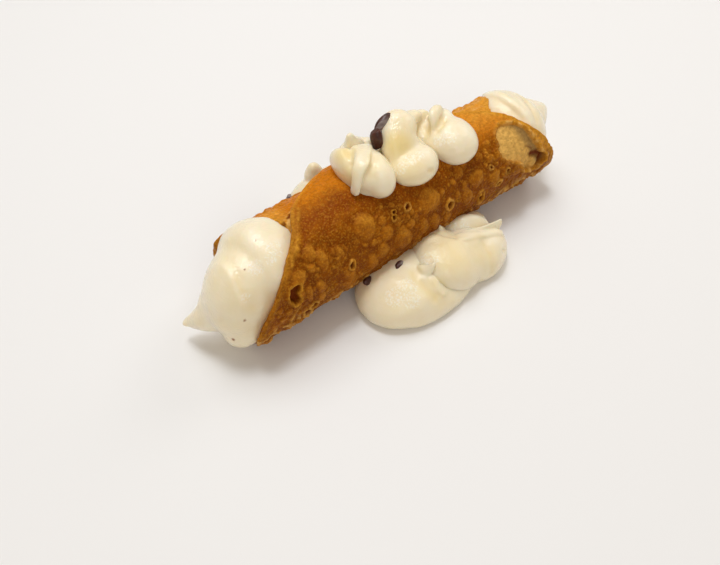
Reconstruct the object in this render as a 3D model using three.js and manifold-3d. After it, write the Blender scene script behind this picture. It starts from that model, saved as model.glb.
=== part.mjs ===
// A filled cannoli: a fried pastry tube rolled from one sheet, whose outer flap laps over the top,
// piped full of cream that swells out of both mouths, with cream dollops on top of it, in front of
// it and behind it, and chocolate pieces pressed into the cream.
//
// Frame: millimetres, +Z up. X runs along the tube, and its flat underside lies on z = 0 below its
// middle. Angles round the tube are in degrees: 0 points to the front (-Y), 90 straight up, 180 back.
import * as THREE from "three";
import { mergeVertices } from "three/addons/utils/BufferGeometryUtils.js";
import Module from "manifold-3d";

const wasm = await Module();
wasm.setup();

// ---- driving dimensions -------------------------------------------------------------------------

const GAP = 0.3; // clear space kept between neighbouring pieces
const CUT_GROWTH = 1.4 * GAP; // growth of a lump that cuts its neighbour, which leaves GAP on a slant
const TUBE = { radius: 18.6, taper: 0.007, flat: 0.4 }; // outer layer; flat is worn off underneath
const BORE = { radius: 15.2, forward: 0.5, down: 1.4 }; // inside of the roll, nearer front and floor
const TUBE_CELLS = { round: 32, along: 22, bore: 3 }; // faces round the roll, along it, along its bore
const FLAP_CELLS = { round: 46, along: 42, bore: 3 }; // the same for the flap, by the full turn
const RIM_FLARE = { rise: 0.45, reach: 2.5 }; // how the flap's free edge curls up
const RIM_CALM = { roll: 4, flap: 3 }; // how far in from a rim the blisters reach their full height
const UNDERSIDE = { bare: 18, full: 35 }; // degrees up from below, with no blisters and with all

// Edges of the pastry: each pair is an angle round the tube and the x that the edge reaches there.
const FLAP_LEFT = [
  [-60, -62.2], [-35, -63.8], [-14, -64.4], [5, -61.4], [26, -55.2], [48, -48.2], [70, -41.3],
  [92, -36.6], [111, -28.5], [135, -18], [162, -4.5],
];
const FLAP_RIGHT = [
  [-60, 60.5], [-32, 62], [-6, 61.4], [14, 58.6], [39, 53.8], [57, 48.9], [75, 43.6], [94, 36.4],
  [111, 28], [135, 16], [162, 3.5],
];
const TUBE_LEFT = [
  [-90, -63], [-50, -63.6], [-14, -63.4], [5, -60.4], [26, -54.2], [48, -47.2], [72, -40.6],
  [92, -41], [108, -43], [120, -46.5], [138, -52.6], [160, -57], [215, -60],
];
const TUBE_RIGHT = [
  [-90, 60.5], [-50, 61.4], [-6, 60.4], [14, 57.6], [39, 52.8], [57, 48], [75, 44.2], [92, 44.8],
  [113, 49.6], [130, 53.5], [165, 58], [215, 59.8],
];
// How far the inner layer lies below the outer layer's radius, by angle.
const INNER_LAYER = [
  [-90, 0], [-50, 0], [-28, -1.1], [0, -1.6], [60, -2.2], [80, -2.7], [135, -2.7], [180, -1.6],
  [225, -0.3],
];
const ROLL_RELIEF = { low: -0.4, high: 0.7 }; // bounds of the roll's relief, so none pierces the flap
// The flap's angles, how deep its two ends are tucked into the roll, and over which angles.
const FLAP = { start: -55, startFull: -25, endFull: 120, end: 160 };
const TUCK = { start: 0.7, end: 1.1, bite: 0.7 };

// Blisters of the crust: x, angle, radius, rise. Those of the sheltered sides are scattered by rule.
const BLISTERS = [
  [-22, 38, 5.2, 1.2], [3.8, 33, 3.8, 1.2], [-37.3, 36, 4, 1], [-40.7, 52, 3.4, 0.8],
  [-31.7, 32, 3, 0.9], [-8.6, 11, 3.6, 1], [-13.4, 24, 2.8, 0.8], [-20.7, 0, 3, 0.8],
  [3.2, 7, 3, 0.9], [23.7, 27, 3, 1], [12.2, 16, 3, 0.9], [-29.2, 13, 2.8, 0.9],
  [-40.8, 12, 3.4, 0.8], [31.2, 28, 2.6, 0.8], [32.6, 11, 3, 0.8], [26.6, -5, 2.8, 0.9],
];
const SCATTER = {
  seed: 41, tries: 420, x: [-58, 57], angle: [-70, 250], radius: [2, 3.4], rise: [0.4, 0.9], apart: 0.85,
};
const CALM_TOP = { from: 55, to: 128, share: 0.06 }; // the flap's smooth upper face: few blisters

// The blister that broke open near the right mouth, and the slit near the left one.
const BROKEN_BLISTER = { x: 46.8, arc: 9.6, long: 13, wide: 6.6, turn: -52, depth: 1.9, lip: 0.7 };
const BROKEN_LIP = { at: 1.1, width: 0.16 }; // where the lip stands, in shares of the blister's size
const SLIT = { x: -49.5, angle: 17, long: 3.6, wide: 1.7, depth: 1.6, turn: 25 };

// The filling's path from the left peak to the right one: x, y, z, then half its width and height.
const FILLING_PATH = [
  [-79, 6.4, 7.4, 0.8, 0.8], [-75.6, 3.6, 9, 2.8, 2.6], [-71, 0.2, 12, 7, 6.8],
  [-65.5, -2.4, 15.4, 12, 12.2], [-59, -2.4, 18.4, 15.2, 15.8], [-52, -1.4, 19.4, 16.8, 17.2],
  [-46.6, -0.9, 18.8, 16, 17], [-42, -0.5, 17, 14.7, 14.7], [44, -0.5, 16.6, 14.7, 14.7],
  [51, -0.6, 18, 15, 15.2], [57, -1.2, 20.4, 14.6, 14.8], [63.6, -2.4, 21.8, 11, 10],
  [69, -2.6, 23.6, 5.4, 4.6], [71.6, -2.2, 25, 0.8, 0.8],
];

const CREAM = { color: 0xf3e6c0, roughness: 0.35 };
const SHADED_CREAM = { color: 0xeeddb4, roughness: 0.35 };
const CRUST = { color: 0xb8691f, roughness: 0.6 };

// ---- small tools --------------------------------------------------------------------------------

const radians = THREE.MathUtils.degToRad;

/** A smooth curve through [t, value] pairs; with a period it runs on round the circle. */
function through(pairs, period = 0) {
  const knots = period
    ? [...pairs.slice(-2).map(([t, v]) => [t - period, v]), ...pairs,
      ...pairs.slice(0, 2).map(([t, v]) => [t + period, v])]
    : pairs;
  const slope = (i) => {
    const low = Math.max(i - 1, 0);
    const high = Math.min(i + 1, knots.length - 1);
    return (knots[high][1] - knots[low][1]) / (knots[high][0] - knots[low][0]);
  };
  return (at) => {
    let t = at;
    if (period) t = pairs[0][0] + THREE.MathUtils.euclideanModulo(at - pairs[0][0], period);
    let i = 0;
    while (i < knots.length - 2 && t > knots[i + 1][0]) i += 1;
    const span = knots[i + 1][0] - knots[i][0];
    const u = THREE.MathUtils.clamp((t - knots[i][0]) / span, 0, 1);
    const rise = u * u * (3 - 2 * u);
    const enter = u * (1 - u) * (1 - u) * span * slope(i);
    const leave = u * u * (u - 1) * span * slope(i + 1);
    return knots[i][1] + (knots[i + 1][1] - knots[i][1]) * rise + enter + leave;
  };
}

/** Seeded random numbers from 0 to 1. */
function seededRandom(seed) {
  let state = seed;
  return () => {
    state = (state + 0x6d2b79f5) | 0;
    let t = Math.imul(state ^ (state >>> 15), 1 | state);
    t = (t + Math.imul(t ^ (t >>> 7), 61 | t)) ^ t;
    return ((t ^ (t >>> 14)) >>> 0) / 4294967296;
  };
}

/** A closed body from points and triangles, turned so that its faces point out. */
function bodyFrom(points, triangles) {
  const a = new THREE.Vector3();
  let volume = 0;
  for (let i = 0; i < triangles.length; i += 3) {
    const [p, q, r] = [points[triangles[i]], points[triangles[i + 1]], points[triangles[i + 2]]];
    volume += a.copy(p).cross(q).dot(r);
  }
  if (volume < 0) triangles.reverse();
  return new wasm.Manifold(new wasm.Mesh({
    numProp: 3,
    vertProperties: new Float32Array(points.flatMap((p) => [p.x, p.y, p.z])),
    triVerts: new Uint32Array(triangles),
  }));
}

/** A closed body from a three.js geometry. */
function bodyOf(geometry) {
  const bare = geometry.clone();
  bare.deleteAttribute("normal");
  bare.deleteAttribute("uv");
  const welded = mergeVertices(bare);
  const place = welded.attributes.position;
  const points = Array.from({ length: place.count }, (_, i) =>
    new THREE.Vector3().fromBufferAttribute(place, i));
  return bodyFrom(points, Array.from(welded.index.array));
}

/** A closed skin of rings: each ring joins the next, and the ends close on a middle point. */
function skinRings(rings, closedOnItself) {
  const count = rings[0].length;
  const points = rings.flat();
  const triangles = [];
  const last = closedOnItself ? rings.length : rings.length - 1;
  for (let j = 0; j < last; j += 1) {
    for (let i = 0; i < count; i += 1) {
      const a = j * count + i;
      const b = j * count + ((i + 1) % count);
      const c = ((j + 1) % rings.length) * count + i;
      const d = ((j + 1) % rings.length) * count + ((i + 1) % count);
      triangles.push(a, b, d, a, d, c);
    }
  }
  if (!closedOnItself) {
    for (const [ring, flip] of [[0, true], [rings.length - 1, false]]) {
      const middle = rings[ring].reduce((sum, p) => sum.add(p), new THREE.Vector3());
      points.push(middle.divideScalar(count));
      for (let i = 0; i < count; i += 1) {
        const a = ring * count + i;
        const b = ring * count + ((i + 1) % count);
        triangles.push(...(flip ? [b, a, points.length - 1] : [a, b, points.length - 1]));
      }
    }
  }
  return bodyFrom(points, triangles);
}

/** Join bodies, or cut the others out of the first. */
const join = (...bodies) => bodies.reduce((sum, body) => sum.add(body));
const cut = (body, ...others) => others.reduce((rest, other) => rest.subtract(other), body);

// ---- the pastry ---------------------------------------------------------------------------------

const radiusAt = (x) => TUBE.radius - TUBE.taper * x;
const axisHeight = (x) => radiusAt(x) - TUBE.flat;

/** The point at x, an angle and a radius round the tube's axis, never below the floor. */
function onTube(x, angle, radius) {
  const z = axisHeight(x) + radius * Math.sin(radians(angle));
  return new THREE.Vector3(x, -radius * Math.cos(radians(angle)), Math.max(z, 0));
}

/** All blisters: the named ones, then scattered ones where no other blister lies near. */
function allBlisters() {
  const random = seededRandom(SCATTER.seed);
  const between = ([low, high]) => low + (high - low) * random();
  const found = BLISTERS.map((b) => [...b]);
  for (let n = 0; n < SCATTER.tries; n += 1) {
    const [x, angle] = [between(SCATTER.x), between(SCATTER.angle)];
    const [radius, rise] = [between(SCATTER.radius), between(SCATTER.rise)];
    const calm = angle > CALM_TOP.from && angle < CALM_TOP.to && random() > CALM_TOP.share;
    const near = found.some(([bx, ba, br]) =>
      Math.hypot(x - bx, radians(angle - ba) * TUBE.radius) < SCATTER.apart * (radius + br));
    if (!calm && !near) found.push([x, angle, radius, rise]);
  }
  return found;
}

const blisters = allBlisters();

/** Where a point lies in the broken blister: 0 at its middle, 1 at its edge. */
function inBrokenBlister(x, angle) {
  const turn = radians(BROKEN_BLISTER.turn);
  const dx = x - BROKEN_BLISTER.x;
  const ds = radians(angle) * radiusAt(x) - BROKEN_BLISTER.arc;
  const along = dx * Math.cos(turn) + ds * Math.sin(turn);
  const across = ds * Math.cos(turn) - dx * Math.sin(turn);
  return Math.hypot(along / BROKEN_BLISTER.long, across / BROKEN_BLISTER.wide);
}

/** Height of the crust above its plain radius: domes of (1 - d squared) squared, and a flat pit. */
function relief(x, angle) {
  const broken = inBrokenBlister(x, angle);
  if (broken < 1) return -BROKEN_BLISTER.depth * (1 - broken ** 6);
  const fromLip = (broken - BROKEN_LIP.at) / BROKEN_LIP.width;
  let height = BROKEN_BLISTER.lip * Math.exp(-(fromLip ** 2));
  for (const [bx, ba, radius, rise] of blisters) {
    const d = Math.hypot(x - bx, radians(angle - ba) * TUBE.radius) / radius;
    if (d < 1) height += rise * (1 - d * d) ** 2;
  }
  return height;
}

/** The roll under the flap: outer face with its blisters, rims, and the round bore inside. */
function rolledTube(grow) {
  const cells = TUBE_CELLS;
  const [left, right] = [through(TUBE_LEFT, 360), through(TUBE_RIGHT, 360)];
  const sunk = through(INNER_LAYER, 360);
  const rings = [];
  for (let i = 0; i < cells.round; i += 1) {
    const angle = -90 + (360 * i) / cells.round;
    const fromBelow = Math.min(angle + 90, 270 - angle);
    const clearOfFloor = THREE.MathUtils.smoothstep(fromBelow, UNDERSIDE.bare, UNDERSIDE.full);
    const [x0, x1] = [left(angle) - grow, right(angle) + grow];
    const ring = [];
    for (let k = 0; k <= cells.along; k += 1) {
      const x = x0 + ((x1 - x0) * k) / cells.along;
      const clearOfRim = THREE.MathUtils.smoothstep(Math.min(x - x0, x1 - x), 0, RIM_CALM.roll);
      const blister = THREE.MathUtils.clamp(relief(x, angle), ROLL_RELIEF.low, ROLL_RELIEF.high);
      const bump = blister * clearOfRim;
      ring.push(onTube(x, angle, radiusAt(x) + sunk(angle) + bump * clearOfFloor + grow));
    }
    for (let k = cells.bore; k >= 0; k -= 1) {
      const x = x0 + ((x1 - x0) * k) / cells.bore;
      const radius = BORE.radius - grow;
      ring.push(new THREE.Vector3(x, -BORE.forward - radius * Math.cos(radians(angle)),
        axisHeight(x) - BORE.down + radius * Math.sin(radians(angle))));
    }
    rings.push(ring);
  }
  return skinRings(rings, true);
}

/** The outer flap: it leaves the roll low at the front and laps over the top to the back. */
function outerFlap(grow) {
  const cells = FLAP_CELLS;
  const [left, right] = [through(FLAP_LEFT), through(FLAP_RIGHT)];
  const sunk = through(INNER_LAYER, 360);
  const rings = [];
  const steps = Math.round(((FLAP.end - FLAP.start) * cells.round) / 360);
  for (let i = 0; i <= steps; i += 1) {
    const angle = FLAP.start + ((FLAP.end - FLAP.start) * i) / steps;
    const [x0, x1] = [left(angle) - grow, right(angle) + grow];
    const tuck = TUCK.start * (1 - THREE.MathUtils.smoothstep(angle, FLAP.start, FLAP.startFull))
      + TUCK.end * THREE.MathUtils.smoothstep(angle, FLAP.endFull, FLAP.end);
    const ring = [];
    for (let k = 0; k <= cells.along; k += 1) {
      const x = x0 + ((x1 - x0) * k) / cells.along;
      const inward = Math.min(x - x0, x1 - x);
      const curl = RIM_FLARE.rise * Math.exp(-inward / RIM_FLARE.reach);
      const bump = relief(x, angle) * THREE.MathUtils.smoothstep(inward, 0, RIM_CALM.flap);
      ring.push(onTube(x, angle, radiusAt(x) - tuck + curl + bump + grow));
    }
    for (let k = cells.bore; k >= 0; k -= 1) {
      const x = x0 + ((x1 - x0) * k) / cells.bore;
      ring.push(onTube(x, angle, radiusAt(x) + sunk(angle) - TUCK.bite));
    }
    rings.push(ring);
  }
  return skinRings(rings, false);
}

/** A low-sided ball stretched to a dent cutter, lying on the tube at x and an angle. */
function dentCutter({ x, angle, long, wide, depth, turn }) {
  const ball = new THREE.IcosahedronGeometry(1, 1);
  ball.scale(wide, depth, long);
  ball.rotateY(radians(turn));
  ball.rotateX(radians(-angle));
  const place = onTube(x, angle, radiusAt(x) + 0.2);
  ball.translate(place.x, place.y, place.z);
  return bodyOf(ball);
}

const pastry = (grow) => join(rolledTube(grow), outerFlap(grow));
const shell = cut(pastry(0), dentCutter(SLIT));
const aroundShell = pastry(GAP);

// ---- the cream ----------------------------------------------------------------------------------

/** Distance from a point to a path of straight stretches. */
function distanceToPath(point, path) {
  const near = new THREE.Vector3();
  let best = Infinity;
  for (let i = 0; i + 1 < path.length; i += 1) {
    new THREE.Line3(path[i], path[i + 1]).closestPointToPoint(point, true, near);
    best = Math.min(best, near.distanceTo(point));
  }
  return best;
}

/** Sum of ridges and creases at a point: each is rise times exp(-(distance / width) squared). */
function strokesAt(point, strokes) {
  return strokes.reduce((sum, { path, width, rise }) =>
    sum + rise * Math.exp(-((distanceToPath(point, path) / width) ** 2)), 0);
}

/** A ridge or crease of the cream along a path of [x, y, z] points. */
const stroke = (width, rise, ...path) =>
  ({ width, rise, path: path.map((p) => new THREE.Vector3(...p)) });

/** A soft lump: a ball stretched to its half sizes, then pushed out or in by its strokes. */
function lump({ centre, half, strokes = [], detail = 5 }, grow = 0) {
  const ball = new THREE.IcosahedronGeometry(1, detail);
  const place = ball.attributes.position;
  const middle = new THREE.Vector3(...centre);
  for (let i = 0; i < place.count; i += 1) {
    const way = new THREE.Vector3().fromBufferAttribute(place, i);
    const out = way.clone().multiply(new THREE.Vector3(...half));
    const point = out.clone().add(middle);
    const reach = out.length() + strokesAt(point, strokes) + grow;
    out.setLength(Math.max(reach, 1)).add(middle);
    place.setXYZ(i, out.x, out.y, out.z);
  }
  return bodyOf(ball);
}

/** A ribbon or rope of cream along a smooth path of [x, y, z, half width, half height] stations. */
function rope(stations, { sides = 8, steps = 2, strokes = [], up = [0, 0, 1] } = {}, grow = 0) {
  const spine = new THREE.CatmullRomCurve3(
    stations.map(([x, y, z]) => new THREE.Vector3(x, y, z)), false, "centripetal");
  const widths = through(stations.map((s, i) => [i, s[3]]));
  const heights = through(stations.map((s, i) => [i, s[4]]));
  const rings = [];
  const count = (stations.length - 1) * steps;
  for (let j = 0; j <= count; j += 1) {
    const t = j / count;
    const middle = spine.getPoint(t);
    const ahead = spine.getTangent(t);
    const side = new THREE.Vector3(...up).cross(ahead).normalize();
    const lift = ahead.clone().cross(side);
    const at = t * (stations.length - 1);
    const [width, height] = [Math.max(widths(at), 0.3) + grow, Math.max(heights(at), 0.3) + grow];
    rings.push(Array.from({ length: sides }, (_, i) => {
      const turn = (2 * Math.PI * i) / sides;
      const out = side.clone().multiplyScalar(width * Math.cos(turn));
      out.addScaledVector(lift, height * Math.sin(turn));
      const point = out.clone().add(middle);
      return out.setLength(out.length() + strokesAt(point, strokes)).add(middle);
    }));
  }
  return skinRings(rings, false);
}

/** A many-sided chocolate piece at a place, half sizes and turns about x, y and z in degrees. */
function chocolate(place, half, turns) {
  const ball = new THREE.IcosahedronGeometry(1, 1);
  ball.scale(...half);
  ball.rotateX(radians(turns[0]));
  ball.rotateY(radians(turns[1]));
  ball.rotateZ(radians(turns[2]));
  ball.translate(...place);
  return bodyOf(ball);
}

const floorSlab = bodyOf(new THREE.BoxGeometry(400, 400, 40).translate(0, 0, -20));

// The cream inside the tube, which swells out of both mouths and ends in a drooping peak.
const fillingStrokes = [
  stroke(3.4, -1.5, [-66.5, 7, 24], [-66, -2, 25], [-64, -9, 22], [-62.5, -14, 15]),
  stroke(4, 1.3, [-70, 3, 17], [-70, -4, 15.5], [-67.5, -10, 10]),
];
const filling = cut(rope(FILLING_PATH, { sides: 24, steps: 2, strokes: fillingStrokes }), aroundShell);

// Dollops on top of the shell.
const TOP_LEFT = {
  centre: [-11.6, -1.2, 38.2], half: [7.6, 11.6, 7.2], detail: 3,
  strokes: [
    stroke(2.2, -1.5, [-14.4, 3.5, 45], [-17, -2, 44], [-18.5, -5, 41]),
    stroke(2.4, -1.5, [-7.5, -2, 45], [-11, -7, 43]),
  ],
};
const TOP_LEFT_TAIL = [
  [-7.5, 4.5, 43.8, 2.4, 1.6], [-10.2, 0.4, 45.6, 2.3, 1.2], [-14.2, -3.8, 44.9, 2, 1.1],
  [-17.4, -5.9, 41.6, 1.7, 1], [-18.9, -6.6, 38.8, 1, 0.8],
];
const TOP_MIDDLE = {
  centre: [5.2, -1, 38.4], half: [10.8, 13.6, 9.2], detail: 4,
  strokes: [
    stroke(4.5, -2.2, [-3, -3, 46.5], [3, -5, 47.5]),
    stroke(4, -2.4, [15, 4, 44], [15.5, -1, 43.5]),
    stroke(3.4, 1.3, [9, 6, 46.5], [9, -1, 47], [12, -8, 42.5]),
  ],
};
const TOP_RIGHT = {
  centre: [21.6, -4.6, 37.4], half: [8.6, 10, 7.4], detail: 3,
  strokes: [stroke(2.4, -1.6, [15, -2, 43.5], [18, 2.5, 44]), stroke(2.4, -1.2, [22.5, -5, 44.5])],
};
const TOP_RIGHT_CURL = [
  [14.4, -5.6, 42.6, 1.2, 0.8], [16.6, -2.4, 44.6, 1.8, 1.2], [19.4, 0.6, 45.4, 2.6, 1.6],
  [22.6, -0.4, 44, 2.8, 1.8], [25, -2.6, 41.6, 2.2, 1.4],
];
const TOP_BACK = { centre: [-4.8, 8.4, 34.6], half: [7.4, 6.4, 5.4], detail: 2 };
const TOP_BACK_PEAK = [
  [-5.4, 7.8, 36, 5.4, 4.4], [-7.4, 7.6, 42.4, 3.2, 2.6], [-9.2, 7.2, 46.6, 0.8, 0.7],
];

const topLeft = (grow) => join(lump(TOP_LEFT, grow), rope(TOP_LEFT_TAIL, {}, grow));
const topMiddle = (grow) => lump(TOP_MIDDLE, grow);
const topRight = join(lump(TOP_RIGHT), rope(TOP_RIGHT_CURL));
const topBack = join(lump(TOP_BACK), rope(TOP_BACK_PEAK, { up: [1, 0, 0] }));

// Chocolate pieces: place, half sizes, and turns about x, y and z.
const TOP_CHUNK = [[-2.2, 3.4, 44.4], [2, 4.4, 2.2], [10, 0, 35]];
const TOP_SHARD = [[4.6, 8.4, 44.2], [3, 1.8, 1.6], [0, 10, 30]];
const FRONT_CHIP = [[-10.4, -18.4, 12.6], [2.2, 1.6, 1.6], [0, 0, 20]];
const FRONT_SHARD = [[-22.5, -17.6, 9.4], [2.4, 1.6, 1.5], [0, 20, 10]];
const REAR_CHIP = [[-19.6, 31.5, 6.5], [2.2, 2, 1.8], [0, 0, 0]];
const topChunk = join(chocolate(...TOP_CHUNK), chocolate(...TOP_SHARD));

// Dollops squeezed onto the floor in front of the shell and behind it.
const FRONT_LEFT = {
  centre: [-11.4, -24, 4], half: [18.4, 15.2, 9.5], detail: 4,
  strokes: [
    stroke(8, 3.2, [-1, -36, 4], [4, -34, 5]),
    stroke(3.4, -1.8, [-8, -26, 13.5], [-4, -31, 12]),
    stroke(3, 2.2, [-3, -26, 13], [0, -31, 11], [3, -34, 8]),
  ],
};
const FRONT_MIDDLE = {
  centre: [11.6, -26.4, 5], half: [19, 12.2, 9.5], detail: 4,
  strokes: [
    stroke(3.6, 1.4, [4, -21, 14], [16, -20, 14.5], [28, -21, 10.5]),
    stroke(3, -1.3, [19, -25, 14], [21, -31, 11], [18, -36, 7]),
  ],
};
const FRONT_MIDDLE_TIP = [
  [20, -20.5, 10.4, 4, 2], [27, -21.5, 9.4, 3, 1.5], [32, -22.8, 7.2, 1.4, 1],
];
const FRONT_MIDDLE_CREST = { centre: [3, -20.4, 7], half: [9.6, 7.4, 10], detail: 2 };
const FRONT_BACK = { centre: [19.4, -18.6, 5], half: [12, 7.6, 9.6], detail: 3 };
const REAR = {
  centre: [-7.4, 30, 4], half: [13.2, 12, 8], detail: 3,
  strokes: [stroke(3.4, -1.4, [-19, 27, 10], [-12, 22, 12])],
};
const REAR_PEAK = [[-9, 31, 8, 9, 8], [-9.4, 32, 12.6, 4.4, 4.4], [-9.2, 33, 16.4, 1.6, 1.6]];

const frontMiddle = (grow) =>
  join(lump(FRONT_MIDDLE, grow), lump(FRONT_MIDDLE_CREST, grow), rope(FRONT_MIDDLE_TIP, {}, grow));
const frontLeft = join(lump(FRONT_LEFT), chocolate(...FRONT_CHIP), chocolate(...FRONT_SHARD));
const rearPeak = rope(REAR_PEAK, { up: [1, 0, 0], sides: 12 });
const rear = join(lump(REAR), rearPeak, chocolate(...REAR_CHIP));

// ---- the scene graph ----------------------------------------------------------------------------

/** The largest of a body's separate lumps, so that no loose crumb is kept. */
function largest(body) {
  return body.decompose().reduce((most, one) => (one.volume() > most.volume() ? one : most));
}

/** One named piece with its own plain material. */
function piece(name, body, finish) {
  const { vertProperties, triVerts } = largest(body).getMesh();
  const geometry = new THREE.BufferGeometry();
  geometry.setAttribute("position", new THREE.BufferAttribute(new Float32Array(vertProperties), 3));
  geometry.setIndex(new THREE.BufferAttribute(new Uint32Array(triVerts), 1));
  geometry.computeVertexNormals();
  const mesh = new THREE.Mesh(geometry,
    new THREE.MeshStandardMaterial({ ...finish, metalness: 0 }));
  mesh.name = name;
  return mesh;
}

const besideLeft = topLeft(CUT_GROWTH);
const besideMiddle = topMiddle(CUT_GROWTH);
const besideFront = frontMiddle(CUT_GROWTH);

const group = new THREE.Group();
group.add(
  piece("shell", shell, CRUST),
  piece("filling", filling, CREAM),
  piece("top_dollop_left", cut(topLeft(0), aroundShell), CREAM),
  piece("top_dollop_middle", cut(join(topMiddle(0), topChunk), aroundShell, besideLeft), CREAM),
  piece("top_dollop_right", cut(topRight, aroundShell, besideMiddle), CREAM),
  piece("top_dollop_back", cut(topBack, aroundShell, besideLeft, besideMiddle), SHADED_CREAM),
  piece("front_dollop_middle", cut(frontMiddle(0), aroundShell, floorSlab), CREAM),
  piece("front_dollop_left", cut(frontLeft, aroundShell, floorSlab, besideFront), CREAM),
  piece("front_dollop_back", cut(lump(FRONT_BACK), aroundShell, floorSlab, besideFront), CREAM),
  piece("rear_dollop", cut(rear, aroundShell, floorSlab), SHADED_CREAM),
);

export default group;
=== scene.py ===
"""A filled cannoli: a blistered fried pastry tube with an outer flap, cream that swells out of both
mouths, dollops of cream on top, in front and behind, and chips of dark chocolate.

Sizes are in millimetres in the tube's frame: X runs along the tube, Y to the back, Z up from the
floor. Angles round the tube are in degrees: 0 points to the front (-Y), 90 straight up, 180 back.
"""

import logging
import math
from dataclasses import dataclass, field
from enum import Enum

import bpy
import numpy as np
from mathutils import Matrix, Vector


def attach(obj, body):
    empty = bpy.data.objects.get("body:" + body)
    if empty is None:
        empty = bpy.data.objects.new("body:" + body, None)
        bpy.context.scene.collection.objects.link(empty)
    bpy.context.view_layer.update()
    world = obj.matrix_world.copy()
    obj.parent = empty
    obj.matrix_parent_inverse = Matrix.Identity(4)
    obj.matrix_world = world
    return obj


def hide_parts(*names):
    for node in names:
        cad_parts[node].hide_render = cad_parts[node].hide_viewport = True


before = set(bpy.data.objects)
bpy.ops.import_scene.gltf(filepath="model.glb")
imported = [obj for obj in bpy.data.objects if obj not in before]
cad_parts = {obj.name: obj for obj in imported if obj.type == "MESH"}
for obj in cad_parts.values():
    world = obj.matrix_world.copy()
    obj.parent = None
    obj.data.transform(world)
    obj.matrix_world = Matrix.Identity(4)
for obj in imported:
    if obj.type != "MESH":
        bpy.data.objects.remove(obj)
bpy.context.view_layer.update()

LOG = logging.getLogger("cannoli")
MM = 0.001
BODY = "root"
FULL_TURN = 360
TINY = 1e-6


class Slot(Enum):
    """The material slots: crust, cream and chocolate."""

    CRUST = "crust"
    CREAM = "cream"
    CHOCOLATE = "chocolate"


# ---- curves, noise and distances ----------------------------------------------------------------


def smoothstep(value: np.ndarray, low: float, high: float) -> np.ndarray:
    """0 up to low, 1 from high on, t squared times (3 - 2t) between; falls if low is larger."""
    t = np.clip((value - low) / (high - low), 0, 1)
    return t * t * (3 - 2 * t)


def bell(value: np.ndarray, width: float) -> np.ndarray:
    """1 at zero, falling off as exp(-(value / width) squared)."""
    return np.exp(-((value / width) ** 2))


def through(knots: list, at: np.ndarray, period: float = 0.0) -> np.ndarray:
    """A cubic Hermite curve through knots, with centred differences as its slopes.

    Args:
        knots: pairs of a parameter and the value there.
        at: parameters to work out.
        period: length after which the curve repeats, or 0 if it doesn't.

    Returns:
        The curve's value at each parameter.
    """
    t, v = np.array(knots, float).T
    if period:
        at = t[0] + np.mod(at - t[0], period)
        t = np.concatenate([t[-2:] - period, t, t[:2] + period])
        v = np.concatenate([v[-2:], v, v[:2]])
    index = np.arange(len(t))
    low, high = np.maximum(index - 1, 0), np.minimum(index + 1, len(t) - 1)
    slope = (v[high] - v[low]) / (t[high] - t[low])
    i = np.clip(np.searchsorted(t, at, side="left") - 1, 0, len(t) - 2)
    span = t[i + 1] - t[i]
    u = np.clip((at - t[i]) / span, 0, 1)
    rise = u * u * (3 - 2 * u)
    enter = u * (1 - u) ** 2 * span * slope[i]
    leave = u * u * (u - 1) * span * slope[i + 1]
    return v[i] + (v[i + 1] - v[i]) * rise + enter + leave


# Large odd factors that turn a lattice cell's place and a seed into a number that looks random.
CELL_FACTORS = (73856093, 19349663, 83492791)
SEED_FACTOR, SEED_START = 2654435, 12345
STIR_FACTORS = (0x85EBCA6B, 0xC2B2AE35)
HASH_TOP = 0xFFFFFF


def hashed(cells: np.ndarray, seed: int) -> np.ndarray:
    """A random number from 0 to 1 for each integer lattice cell, always the same for one seed.

    Args:
        cells: the cells, each as three whole numbers.
        seed: number that chooses the pattern.

    Returns:
        One number for each cell.
    """
    c = cells.astype(np.int64).astype(np.uint32)
    n = np.uint32(seed * SEED_FACTOR + SEED_START)
    for axis, factor in enumerate(CELL_FACTORS):
        n = n ^ c[..., axis] * np.uint32(factor)
    for factor in STIR_FACTORS:
        n = (n ^ (n >> np.uint32(15))) * np.uint32(factor)
    return ((n ^ (n >> np.uint32(16))) & np.uint32(HASH_TOP)) / float(HASH_TOP)


def lattice_noise(points: np.ndarray, size: float, seed: int) -> np.ndarray:
    """Smooth noise from -1 to 1: random values on a cubic lattice of the given size, blended.

    Args:
        points: where to work it out, in mm.
        size: the lattice cell's side.
        seed: number that chooses the pattern.

    Returns:
        One number for each point.
    """
    q = points / size
    base = np.floor(q)
    blend = (q - base) ** 2 * (3 - 2 * (q - base))
    total = np.zeros(q.shape[:-1])
    for corner in np.ndindex(2, 2, 2):
        step = np.array(corner)
        weight = np.prod(np.where(step, blend, 1 - blend), axis=-1)
        total += weight * hashed(base + step, seed)
    return 2 * total - 1


def mottle(points: np.ndarray, seed: int, *octaves: tuple) -> np.ndarray:
    """The sum of smooth noises, each given as its size in mm and its height; seeds count up."""
    return sum(height * lattice_noise(points, size, seed + k)
               for k, (size, height) in enumerate(octaves))


# A bubble's middle keeps this far from its cell's sides and moves within the rest, in cells.
BUBBLE_MARGIN, BUBBLE_PLAY = 0.15, 0.7
# Its foot is a ring this far out and this wide, in its radii.
FOOT_AT, FOOT_WIDTH = 1.05, 0.18


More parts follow.
